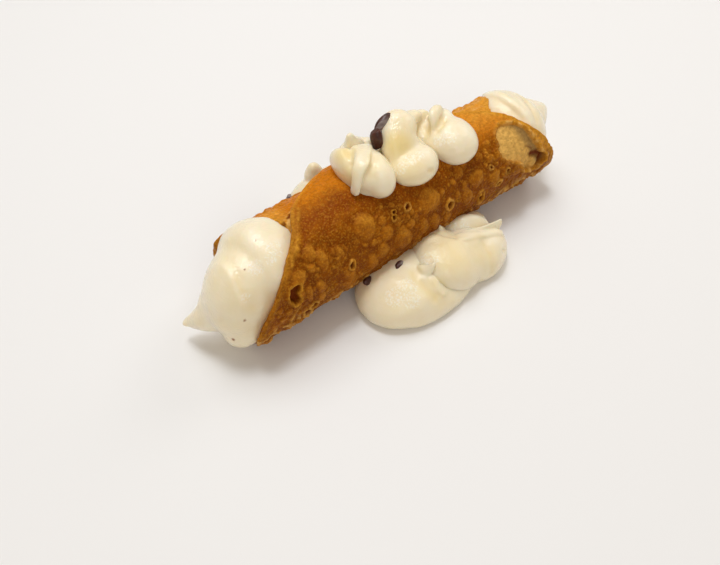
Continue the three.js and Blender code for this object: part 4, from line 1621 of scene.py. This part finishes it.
@dataclass
class Cream:
    """One mass of cream: soft lumps, sharper ropes laid on them, then strokes and folds."""

    name: str
    material: bpy.types.Material
    tube: TubeForm
    lumps: list
    ropes: list = field(default_factory=list)
    strokes: list = field(default_factory=list)
    folds: list = field(default_factory=list)
    # Grainy places, x, y, z and radius: rougher beads, and painted glints in white.
    grains: list = field(default_factory=list)
    flecks: list = field(default_factory=list)
    # Spots of painted glow and warm shade in hollows: x, y, z, radius and strength.
    glows: list = field(default_factory=list)
    voxel: float = 0.32
    soft: int = 40
    rounds: int = 4
    inside: bool = False
    seed: int = 1
    # How grainy it is away from the grainy places.
    plain_grain: float = 0.5
    # How deep under the outer face it is pressed, and the room it takes in the bore and more in
    # the mouths.
    press: float = 0.9
    bore_room: float = 15.6
    mouth_room: float = 6

    def melt(self, piece: bpy.types.Object, rounds: int) -> None:
        """Makes the piece one closed skin and softens it, more the more rounds it gets.

        Args:
            piece: the piece.
            rounds: how many times it is softened.
        """
        join = piece.modifiers.new("melt", "REMESH")
        join.mode = "VOXEL"
        join.voxel_size = self.voxel * MM
        soften = piece.modifiers.new("soften", "SMOOTH")
        soften.factor = 0.5
        soften.iterations = rounds
        bake_modifiers(piece)

    def melted(self) -> bpy.types.Object:
        """Melts the lumps softly, then lays the ropes on them and melts those in sharper.

        Returns:
            The piece, one closed skin.
        """
        skin = self.lumps[0]
        for part in self.lumps[1:]:
            skin = skin.plus(part)
        piece = make_piece("cream_" + self.name, skin, self.material)
        self.melt(piece, self.soft)
        if self.ropes:
            skin = Skin(places_of(piece), [list(face.vertices) for face in piece.data.polygons])
            for part in self.ropes:
                skin = skin.plus(part)
            piece.data.clear_geometry()
            piece.data.from_pydata((skin.points * MM).tolist(), [], skin.faces)
            piece.data.update()
            self.melt(piece, self.rounds)
        return piece

    def build(self) -> None:
        """Makes the piece, which stands for the node of its own name."""
        piece = self.melted()
        points, normals = places_of(piece), normals_of(piece)
        lift, warm = self.worked(points)
        grain = np.maximum(spots(points, self.grains, 0.4), self.plain_grain)
        lift += mottle(points, self.seed, (6.5, 0.18), (2.2, 0.05))
        lift += 0.05 * grain * lattice_noise(points, 0.8, self.seed + 2)
        points = self.settle(points + normals * lift[:, None])
        move_to(piece, points)
        paint(piece, "grain", grain)
        # white specks where the grain is thick: painted glints
        paint(piece, "curd_glints", smoothstep(grain, 0.5, 0.9))
        # painted warm shade in the creases and folds, and painted glow in the hollows
        paint(piece, "fold", np.maximum(warm, spots(points, self.glows, 0.2)))
        paint(piece, "fleck", spots(points, self.flecks, 0.5, 1.1))
        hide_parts(self.name)
        LOG.info("%s: %d faces", self.name, len(piece.data.polygons))

    def worked(self, points: np.ndarray) -> tuple:
        """What the spoon left: strokes and folds, and the painted warm shade in them.

        Strokes move the skin along its normal by rise times exp(-(distance / width) squared).
        Folds move it by the same bell times tanh of how far to one side the point lies.

        Args:
            points: the skin's points.

        Returns:
            How far each point moves out, and its share of the painted warm shade.
        """
        lift, warm = np.zeros(len(points)), np.zeros(len(points))
        for stroke in self.strokes:
            distance, _ = near_path(points, np.array(stroke.path, float))
            shape = bell(distance, stroke.width)
            lift += stroke.rise * shape
            # creases get painted warm shade
            if stroke.rise < 0:
                warm = np.maximum(warm, 0.6 * shape * min(1, -stroke.rise))
        for fold in self.folds:
            distance, offset = near_path(points, np.array(fold.path, float))
            across = offset @ (np.array(fold.side, float) / np.linalg.norm(fold.side))
            lift += fold.rise * bell(distance, fold.width) * np.tanh(across / fold.edge)
            # the low side of a fold gets painted warm shade
            low = bell(distance + 0.4 * across, 0.6 * fold.width) * (across < 0)
            warm = np.maximum(warm, 0.4 * low * min(1, abs(fold.rise)))
        return lift, warm

    def settle(self, points: np.ndarray) -> np.ndarray:
        """Rests the cream on the floor and on the pastry, which it is pressed against.

        Args:
            points: the skin's points.

        Returns:
            The points at rest.
        """
        points = self.confine(points) if self.inside else self.pressed(points)
        points[:, 2] = np.maximum(points[:, 2], 0)
        return points

    def pressed(self, points: np.ndarray) -> np.ndarray:
        """Pushes the points inside the tube out to just under its crust.

        Args:
            points: the skin's points.

        Returns:
            The points, none of them deeper.
        """
        x, y = points[:, 0], points[:, 1]
        axis = self.tube.axis_height(x)
        z = points[:, 2] - axis
        most = self.tube.radius_at(x) - self.press
        grow = np.maximum(most / np.maximum(np.hypot(y, z), TINY), 1)
        return np.stack([x, y * grow, z * grow + axis], axis=-1)

    def confine(self, points: np.ndarray) -> np.ndarray:
        """Keeps the cream that lies between the tube's mouths inside the bore.

        Args:
            points: the skin's points.

        Returns:
            The points, none of them in the pastry.
        """
        x, y = points[:, 0], points[:, 1]
        axis = self.tube.axis_height(x)
        z = points[:, 2] - axis
        angle = np.degrees(np.arctan2(z, -y))
        left = through(TUBE_LEFT, angle, FULL_TURN)
        right = through(TUBE_RIGHT, angle, FULL_TURN)
        inward = np.minimum(x - left, right - x)
        most = self.bore_room + self.mouth_room * (1 - smoothstep(inward, -0.5, 1.5))
        shrink = np.minimum(most / np.maximum(np.hypot(y, z), TINY), 1)
        return np.stack([x, y * shrink, axis + z * shrink], axis=-1)


@dataclass
class Filling:
    """The cream inside the tube, which swells out of both mouths and ends in drooping peaks."""

    tube: TubeForm
    material: bpy.types.Material

    def build(self) -> None:
        """Makes the filling in one piece."""
        core = rope([(-55, -0.5, 17, 14.7, 14.7), (0, -0.5, 16.8, 14.7, 14.7),
                     (55, -0.5, 16.8, 14.7, 14.7)], sides=96, steps=30)
        left = lump((-56.8, -2.1, 18.2), (17.1, 13.3, 16.3), (0, 0, 27), (80, 120))
        mouth = rope([(-63, -1.6, 17.8, 12.4, 13.6), (-56, -0.6, 18.6, 16.2, 17),
                      (-49, 0, 19, 17, 17.8), (-42, 0, 19, 16.6, 17.4),
                      (-36, -0.5, 17, 14.7, 14.7)], sides=96)
        drop = rope([(-79.2, 6.6, 7.1, 1.2, 1.1), (-76.5, 5, 8.4, 2.3, 2.1),
                     (-74, 2.8, 10, 3.8, 3.6), (-70.4, -0.2, 13, 5.9, 5.9),
                     (-65.1, -1.5, 17, 9, 9), (-60, -2, 18, 11, 11)], sides=64)
        lobe = rope([(-57, -8, 19, 6, 6), (-62.2, -10, 14.4, 6.6, 6),
                     (-66.2, -9.2, 10.8, 6.3, 5.4), (-70.2, -7.2, 7.4, 5, 4.2)], up=(1, 0, 0.4))
        right = lump((54, -0.4, 19.7), (12.2, 16.4, 14.5), (0, 0, 7), (80, 120))
        tip = rope([(58, -2, 20.5, 10, 9), (65, -2.4, 22.6, 7.4, 6.6), (69.4, -2.5, 24, 3.6, 3.2),
                    (71.4, -2.2, 25, 0.9, 0.9)], sides=64)
        Cream(
            "filling", self.material, self.tube, [core, left, mouth, drop, lobe, right, tip],
            strokes=[
                # the valleys beside the soft ridge that runs down over the left swell
                Stroke(((-62.5, 3.9, 31.1), (-58.9, 2, 33.5), (-57, -3, 34.4)), 3.4, -0.25),
                Stroke(((-61.8, -13.6, 25), (-63.8, -13.2, 19), (-66.4, -11.6, 13.6)), 2, -0.45),
                # layers of the right swell
                Stroke(((53.7, 6.2, 33.1), (53.5, 1.2, 34.1), (53.4, -2.9, 34), (53.6, -7.7, 33),
                        (53.8, -11.8, 31.2)), 1.5, 0.45),
                Stroke(((60.5, 2, 32.4), (58.7, -4.3, 32.7), (57.9, -9.1, 31.7),
                        (56.4, -13.3, 29.9), (56.4, -16.5, 26.7)), 1.3, -0.5),
                Stroke(((64, 4, 30.5), (65.4, 1.6, 29.5)), 2, 0.7),
            ],
            folds=[Fold(((-62.3, -2.2, 33.6), (-62.2, -4.6, 33.4), (-62.4, -6.6, 33),
                         (-62.9, -9.6, 31.3), (-63.1, -12, 29.1), (-63.1, -13.2, 27.5)), 2.8, 0.45,
                        (-1, 0, -0.2), 1.2),
                   Fold(((51.5, 8, 32.4), (51.4, 2, 33.6), (51.6, -3, 33.4), (52.4, -8, 32)), 2.6,
                        0.35, (1, 0, 0), 0.8)],
            grains=[(-48.2, -7.2, 34.6, 4.4), (-51, -9, 33.6, 3), (-55.8, -8.3, 32.8, 4),
                    (-62.5, -12.5, 28.3, 2.6)],
            flecks=[(-69.9, -12.4, 12.9, 0.65), (-65.5, -14.7, 21.9, 0.45),
                    (-51.5, -2.3, 36.4, 0.32), (-58.8, -7.1, 33.3, 0.3)],
            voxel=0.44, soft=60, inside=True, seed=5,
        ).build()


@dataclass
class TopDollops:
    """The row of dollops on top of the shell."""

    tube: TubeForm
    material: bpy.types.Material

    def build(self) -> None:
        """Makes the four dollops from left to right and the one behind them."""
        for dollop in (self.left(), self.middle(), self.right(), self.back()):
            dollop.build()

    def left(self) -> Cream:
        """Two lobes side by side, with a ribbon of cream that falls forward over them.

        Returns:
            The cream, to be built.
        """
        return Cream(
            "top_dollop_left", self.material, self.tube,
            [lump((-13.2, 0.5, 39.4), (4.6, 10, 6.2), (2, -1, 9)),
             lump((-9, -1.8, 37.9), (6.3, 10.6, 7.2)), lump((-11, 0, 36), (6.6, 9, 4))],
            [rope([(-6.5, 6.4, 41.5, 3.2, 1), (-8, 3.4, 43.6, 3.4, 1.1),
                   (-10.2, 0.2, 44.9, 3.1, 1.1), (-12.6, -2.8, 45.2, 3, 1.1),
                   (-14.9, -4.4, 44.2, 2.3, 1.05), (-16.5, -5.4, 41.8, 1.8, 1),
                   (-17.5, -5.7, 38.8, 1.65, 0.95), (-17.9, -5.8, 36.4, 1.4, 0.9)], square=0.75)],
            strokes=[Stroke(((-13, 3.2, 45.2), (-14.2, 0.8, 45), (-15.2, -0.8, 44)), 1.6, -1.1),
                     Stroke(((-9, -3.6, 44.8), (-11, -5.6, 44), (-12.8, -7, 42.6)), 2.2, -0.7)],
            glows=[(-14.1, 3.4, 43.3, 5.5, 0.8), (-15.6, -1, 41.6, 6, 0.5),
                   (-11, -5.6, 43.6, 4, 0.4)],
            soft=14, seed=11)

    def middle(self) -> Cream:
        """The tallest dollop: a round foot, and a neck that leans over it from behind.

        Returns:
            The cream, to be built.
        """
        return Cream(
            "top_dollop_middle", self.material, self.tube,
            [lump((4.5, -6.8, 36.6), (8.7, 7.7, 5.5)), lump((5.4, 0, 35.5), (9.5, 9, 4.5)),
             rope([(10.2, 7.8, 42.6, 5.2, 4.8), (7.6, 5, 43.8, 6.2, 5), (4.4, 0.7, 41.4, 6.2, 5),
                   (4, -3.4, 38.6, 7.6, 4.8), (4.5, -7, 36.8, 8.2, 4.8)], sides=64),
             rope([(5, 4, 43, 4, 3.8), (10, 5.2, 42.3, 3.8, 3.4), (14.6, 6.2, 41.9, 2.8, 2.6),
                   (18.4, 6, 41.4, 1.8, 1.8)], sides=48)],
            strokes=[
                Stroke(((5.4, 1.4, 46.4), (4, -1.4, 44.4), (3, -4, 42.8)), 3.6, -0.6),
                Stroke(((5.2, -13.9, 38.8), (6, -13.7, 38.2)), 0.9, -0.6)],
            grains=[(-2, -8.2, 40, 3.4), (1.5, -8.4, 41.4, 3.8), (5, -9, 41.8, 3.6)],
            glows=[(1.8, -2.6, 44, 7.5, 0.8), (0.5, -9, 40, 8, 0.4)],
            soft=60, seed=21)

    def right(self) -> Cream:
        """A round dollop with a curl at its left end, against a low wall of cream.

        Returns:
            The cream, to be built.
        """
        return Cream(
            "top_dollop_right", self.material, self.tube,
            [lump((21.4, -5.2, 36.7), (8.2, 10.3, 6.7)), lump((16.6, 6.4, 37.6), (6.4, 2.8, 5.6)),
             lump((20, 2, 35.4), (8, 7, 5)), lump((23.4, 1, 40.4), (3.6, 4, 3))],
            [rope([(22.4, 3.4, 39.6, 4, 2.6), (20.9, 1.8, 41.9, 4, 2.6),
                   (19.3, 0.2, 42.4, 3.6, 2.3), (17.9, -0.9, 41.6, 2.6, 1.9),
                   (16.5, -1.6, 40.6, 1.6, 1.3), (15, -2.2, 39.8, 0.7, 0.7)], up=(0, -1, 0.3))],
            strokes=[Stroke(((21.2, -2, 43.2), (19, -3.2, 42.6), (16.8, -3.8, 41.6)), 1.3, -0.9),
                     Stroke(((13.6, 4, 42.2), (15.2, 1.4, 41.4), (15.4, -0.4, 40.6)), 2.2, -1)],
            grains=[(15, -6.5, 40.8, 3.4), (17.3, -8.8, 41.9, 3.8)],
            glows=[(14.4, 2, 41.6, 4.5, 0.9)], soft=20, seed=31)

    def back(self) -> Cream:
        """A dollop with a pointed peak that looks out behind the left one.

        Returns:
            The cream, to be built.
        """
        return Cream(
            "top_dollop_back", self.material, self.tube,
            [lump((-6.5, 8.4, 36), (7, 5.6, 6)), lump((-3, 7.3, 39.6), (2.2, 2.6, 2.6))],
            [rope([(-7, 7.9, 38, 5.2, 4), (-8.4, 7.6, 42, 3.6, 2.8), (-9.3, 7.4, 45, 1.9, 1.6),
                   (-9.7, 7.3, 47.6, 0.8, 0.7)], up=(0, 1, 0))],
            soft=10, seed=41)


@dataclass
class FloorDollops:
    """The dollops squeezed onto the floor in front of the shell and behind it."""

    tube: TubeForm
    material: bpy.types.Material

    def build(self) -> None:
        """Makes the three in front and the one behind."""
        for dollop in (self.left(), self.middle(), self.back(), self.rear()):
            dollop.build()

    def left(self) -> Cream:
        """The broad lobe at the left, drawn up to a peak against its neighbour.

        Returns:
            The cream, to be built.
        """
        return Cream(
            "front_dollop_left", self.material, self.tube,
            [lump((-11.4, -24, 4), (18.4, 15.2, 9.5)),
             lump((-5.3, -33.2, 2.5), (16.6, 6.9, 5.5), (0, 0, 4))],
            [rope([(-8.8, -26, 10, 4.2, 3.2), (-7, -28, 12.2, 2.8, 2.2), (-6, -29, 13.8, 1.6, 1.2),
                   (-5, -29.4, 15.2, 0.8, 0.7), (-4.2, -29.4, 16, 0.4, 0.4)], up=(1, 0, 0)),
             rope([(-6.2, -28.6, 11.2, 2.4, 1.5), (-6.9, -31.4, 10.9, 2.2, 1.4),
                   (-7.2, -34.4, 9.5, 2, 1.3), (-5.6, -37, 7.2, 1.6, 1.1)])],
            strokes=[
                Stroke(((-10.8, -27, 13.4), (-12, -29.4, 12.8), (-11, -32.5, 11.6), (-9.6, -36, 9)),
                       2.6, -0.85),
                Stroke(((-17, -26.5, 13), (-16, -30.5, 12.2), (-14, -34.5, 10)), 2.6, 0.35),
                Stroke(((-6, -26, 12.4), (-4.2, -30.4, 11), (-3.4, -34, 8.6)), 1.5, -1.2),
                Stroke(((-15, -27.5, 13), (-14.8, -30.6, 12.4)), 1.1, 0.35),
            ],
            grains=[(-20.8, -29.6, 11.4, 5.5), (-15.7, -29.6, 12.8, 5.5), (-17, -33, 10.6, 5)],
            glows=[(-8, -32.5, 11, 4, 0.4), (-4.6, -31.6, 10, 3, 0.9), (-17, -30, 12, 10, 0.25)],
            soft=60, seed=51)

    def middle(self) -> Cream:
        """Two lobes under a sheet whose thin edge stands up in a flap at the right.

        Returns:
            The cream, to be built.
        """
        return Cream(
            "front_dollop_middle", self.material, self.tube,
            [lump((4.4, -26.2, 6), (13.4, 12.3, 9.5), (-2, 24, 0)),
             lump((18.2, -30.1, 4), (11.6, 7.6, 8), (0, 0, 26)),
             lump((3, -21, 7.6), (9.4, 7, 8.4)), lump((13, -26, 5), (12, 9, 8.8)),
             lump((11.6, -30.6, 3.8), (8, 6.6, 8.2))],
            [rope([(11, -24, 12, 2, 2), (18, -25.8, 11.4, 1.2, 2.6), (23, -27, 11.4, 0.9, 2.5),
                   (27.8, -27.7, 11.2, 0.7, 2.6)]),
             rope([(8, -24.6, 13.2, 2.4, 1.8), (14, -26.6, 12.8, 2.2, 1.6),
                   (19.5, -28.4, 11.7, 1.9, 1.4), (23.8, -29.6, 10.6, 1.6, 1.1),
                   (26, -30.6, 9.6, 1, 0.9)]),
             rope([(8.6, -18, 12, 2, 2), (7.4, -18.6, 15, 0.8, 0.8), (7, -18.4, 16.4, 0.4, 0.4)],
                  up=(1, 0, 0)),
             rope([(-4.4, -27.4, 10.4, 1, 0.8), (-3.4, -30.4, 10.4, 0.9, 0.8),
                   (-2.6, -33.4, 9, 0.7, 0.7)])],
            strokes=[
                Stroke(((-3.6, -27, 12), (-2.8, -30.4, 11), (-2.2, -33.6, 8.6)), 1.6, -1.2),
                Stroke(((1, -28, 15), (3, -31, 13)), 4, -0.35),
                Stroke(((16, -31, 12.6), (15.6, -35, 10), (14, -37.6, 5)), 1.6, -0.7),
                Stroke(((21.5, -35.5, 8), (22.5, -35, 7)), 0.9, -0.5),
            ],
            folds=[Fold(((4, -20.6, 15.6), (5.7, -23, 15.4), (7.5, -24.6, 15.2),
                         (10.5, -26.5, 14.8)), 2.6, 0.4, (-0.4, -1, 0), 0.8)],
            grains=[(-5, -25.4, 14.3, 4.4), (-3, -27.6, 14.8, 3)],
            flecks=[(8.6, -19.4, 15.6, 0.4), (9.8, -20.4, 15.4, 0.3)],
            glows=[(-4.1, -31.9, 9, 4, 1), (-2.8, -34.2, 6, 3, 0.8), (3.1, -28.5, 14, 13, 0.4),
                   (12, -32, 13, 10, 0.3)], soft=90, seed=61)

    def back(self) -> Cream:
        """The lobe tucked between its neighbour and the shell.

        Returns:
            The cream, to be built.
        """
        return Cream(
            "front_dollop_back", self.material, self.tube,
            [lump((17.6, -20.4, 6), (9.6, 5, 9.2), (0, 0, -25)),
             lump((18.4, -18.6, 4), (11, 6.6, 8))],
            grains=[(12, -19.7, 12.6, 3.4), (15.4, -22, 13.1, 3)], seed=71)

    def rear(self) -> Cream:
        """The dollop behind the shell, with an upright knob.

        Returns:
            The cream, to be built.
        """
        return Cream(
            "rear_dollop", self.material, self.tube,
            [lump((-8.2, 27.8, 4), (16.6, 9.9, 8), (0, 0, 6)), lump((-9.3, 31.9, 11), (4, 3.2, 5)),
             lump((-9.3, 31.9, 12.6), (3, 2.7, 4.5))],
            strokes=[Stroke(((-19, 27, 10), (-12, 22, 12)), 3.4, -0.6)], soft=20, seed=81)


# ---- chocolate ----------------------------------------------------------------------------------


@dataclass
class Chips:
    """Broken pieces of dark chocolate, pressed into the cream.

    Each starts as a ball of radius 1, cut by planes this far from its middle that leave a little
    of what they cut off, so that the faces are slightly domed.
    """

    material: bpy.types.Material
    faces: int = 9
    face_at: float = 0.78
    cut_share: float = 0.85

    def chip(self, name: str, centre: tuple, half: tuple, turn: tuple, film_and_sheen: tuple,
             seed: int) -> None:
        """Makes one chip: a lump with flat broken faces, one side grey with cream and painted
        sheen.

        Args:
            name: the piece's name.
            centre: its middle.
            half: half sizes.
            turn: turns about x, y and z.
            film_and_sheen: the way its cream smear and painted sheen face, as long as they are
                thick.
            seed: number that chooses the broken faces.
        """
        skin = lump((0, 0, 0), (1, 1, 1))
        out = skin.points.copy()
        random = np.random.default_rng(seed)
        for _ in range(self.faces):
            way = random.normal(size=3)
            way /= np.linalg.norm(way)
            past = np.clip(out @ way - self.face_at, 0, None)
            out -= past[:, None] * way * self.cut_share
        out *= (1 + 0.06 * lattice_noise(out, 0.5, seed))[:, None]
        skin.points = out * half @ turned(turn).T + centre
        piece = make_piece(name, skin, self.material)
        # grey on the faces turned the given way: cream smear and painted sheen
        facing = normals_of(piece) @ np.array(film_and_sheen, float)
        facing += 0.2 * lattice_noise(skin.points, 1.2, seed)
        paint(piece, "film_and_sheen", smoothstep(facing, 0.4, 1))
        LOG.info("%s: %d faces", name, len(piece.data.polygons))

    def build(self) -> None:
        """Makes every chip that shows."""
        self.chip("chocolate_top_chunk", (-1.8, 3.8, 43.2), (2.2, 2.4, 4.4), (0, 0, 10),
                  (0.5, 0.1, 0.25), 3)
        self.chip("chocolate_top_shard", (2.4, 6.1, 46.3), (3.8, 1.7, 1.8), (0, -24, 8),
                  (-0.42, -0.72, 0.2), 5)
        self.chip("chocolate_front_chip", (-12.4, -21.2, 12.9), (2.1, 1.2, 1.0), (0, 0, 20),
                  (0.6, 0, 0.5), 7)
        self.chip("chocolate_front_shard", (-23.1, -18.5, 10.4), (2.2, 1.4, 1.4), (0, 20, 10),
                  (0.2, -0.2, 0.3), 9)
        self.chip("chocolate_rear_chip", (-21.6, 31.2, 6.8), (2.6, 1.4, 1.8), (0, 0, 40),
                  (0.5, 0.3, 0.6), 11)


# ---- the studio ---------------------------------------------------------------------------------


# The place in metres that the lights look at: the middle of the tube.
AIM = (0, -0.005, 0.015)


@dataclass(frozen=True)
class SoftBox:
    """A square soft light aimed at the tube's middle; lengths in metres."""

    name: str
    azimuth: float
    elevation: float
    distance: float
    size: float
    watts: float
    tint: str = "#ffffff"

    def build(self) -> None:
        """Hangs the light: azimuth turns from the front (-Y) to the right (+X)."""
        light = bpy.data.lights.new(self.name, "AREA")
        light.size = self.size
        light.energy = self.watts
        light.color = linear(self.tint)[:3]
        lamp = bpy.data.objects.new(self.name, light)
        turn, rise = math.radians(self.azimuth), math.radians(self.elevation)
        way = Vector((math.sin(turn) * math.cos(rise), -math.cos(turn) * math.cos(rise),
                      math.sin(rise)))
        lamp.location = Vector(AIM) + way * self.distance
        lamp.rotation_euler = way.to_track_quat("Z", "Y").to_euler()
        bpy.context.scene.collection.objects.link(lamp)


@dataclass
class Studio:
    """A plain pale floor, soft lights and the camera.

    The floor's side and the nearest depth shown are in metres, the eye in mm, angles in degrees.
    """

    floor_side: float = 3.0
    sky: str = "#fff2e0"
    sky_strength: float = 0.4
    lens: float = 34.0
    sensor: float = 36.0
    nearest: float = 0.01
    heading: float = 34.92
    pitch: float = 53.0
    roll: float = 2.7
    eye: tuple = (-101.74, -126.49, 186.9)
    lights: tuple = (
        SoftBox("key_light", 174, 64, 0.9, 0.5, 2.7, "#f6faff"),
        SoftBox("sparkle_light", 168, 80, 0.9, 0.2, 2.3, "#f6faff"),
        SoftBox("side_light", 100, 38, 0.8, 0.35, 0.9, "#ffffff"),
        SoftBox("fill_light", -25, 42, 1.0, 0.5, 1.4, "#ffffff"),
    )

    def build(self) -> None:
        """Makes the floor, the sky, the lights and the camera."""
        side = self.floor_side / 2
        corners = [(-side, -side, 0), (side, -side, 0), (side, side, 0), (-side, side, 0)]
        mesh = bpy.data.meshes.new("floor")
        mesh.from_pydata(corners, [], [[0, 1, 2, 3]])
        mesh.materials.append(PaleFloor().material())
        floor = bpy.data.objects.new("floor", mesh)
        bpy.context.scene.collection.objects.link(floor)
        world = bpy.data.worlds.new("studio_sky")
        world.use_nodes = True
        background = world.node_tree.nodes["Background"]
        background.inputs["Color"].default_value = linear(self.sky)
        background.inputs["Strength"].default_value = self.sky_strength
        bpy.context.scene.world = world
        bpy.context.scene.view_settings.view_transform = "Standard"
        for light in self.lights:
            light.build()
        self.hang_camera()

    def hang_camera(self) -> None:
        """Places the camera from its heading, pitch and roll, and makes it the scene's."""
        heading, pitch, roll = (math.radians(a) for a in (self.heading, self.pitch, self.roll))
        ahead = np.array([math.sin(heading) * math.cos(pitch),
                          math.cos(heading) * math.cos(pitch), -math.sin(pitch)])
        right = np.array([math.cos(heading), -math.sin(heading), 0])
        down = np.cross(ahead, right)
        across = math.cos(roll) * right + math.sin(roll) * down
        below = -math.sin(roll) * right + math.cos(roll) * down
        camera = bpy.data.cameras.new("camera")
        camera.lens = self.lens
        camera.sensor_width = self.sensor
        camera.clip_start = self.nearest
        eye = bpy.data.objects.new("camera", camera)
        turn = Matrix([across, -below, -ahead]).transposed().to_4x4()
        eye.matrix_world = Matrix.Translation(Vector(self.eye) * MM) @ turn
        bpy.context.scene.collection.objects.link(eye)
        bpy.context.scene.camera = eye


def main() -> None:
    """Builds the cannoli and its studio."""
    logging.basicConfig(level=logging.INFO, format="%(name)s: %(message)s")
    tube = TubeForm()
    crust, cream = FriedCrust().material(), RicottaCream().material()
    chocolate = DarkChocolate().material()
    Pastry(tube, crust).build()
    Filling(tube, cream).build()
    TopDollops(tube, cream).build()
    FloorDollops(tube, cream).build()
    Chips(chocolate).build()
    Studio().build()


if __name__ == "__main__":
    main()
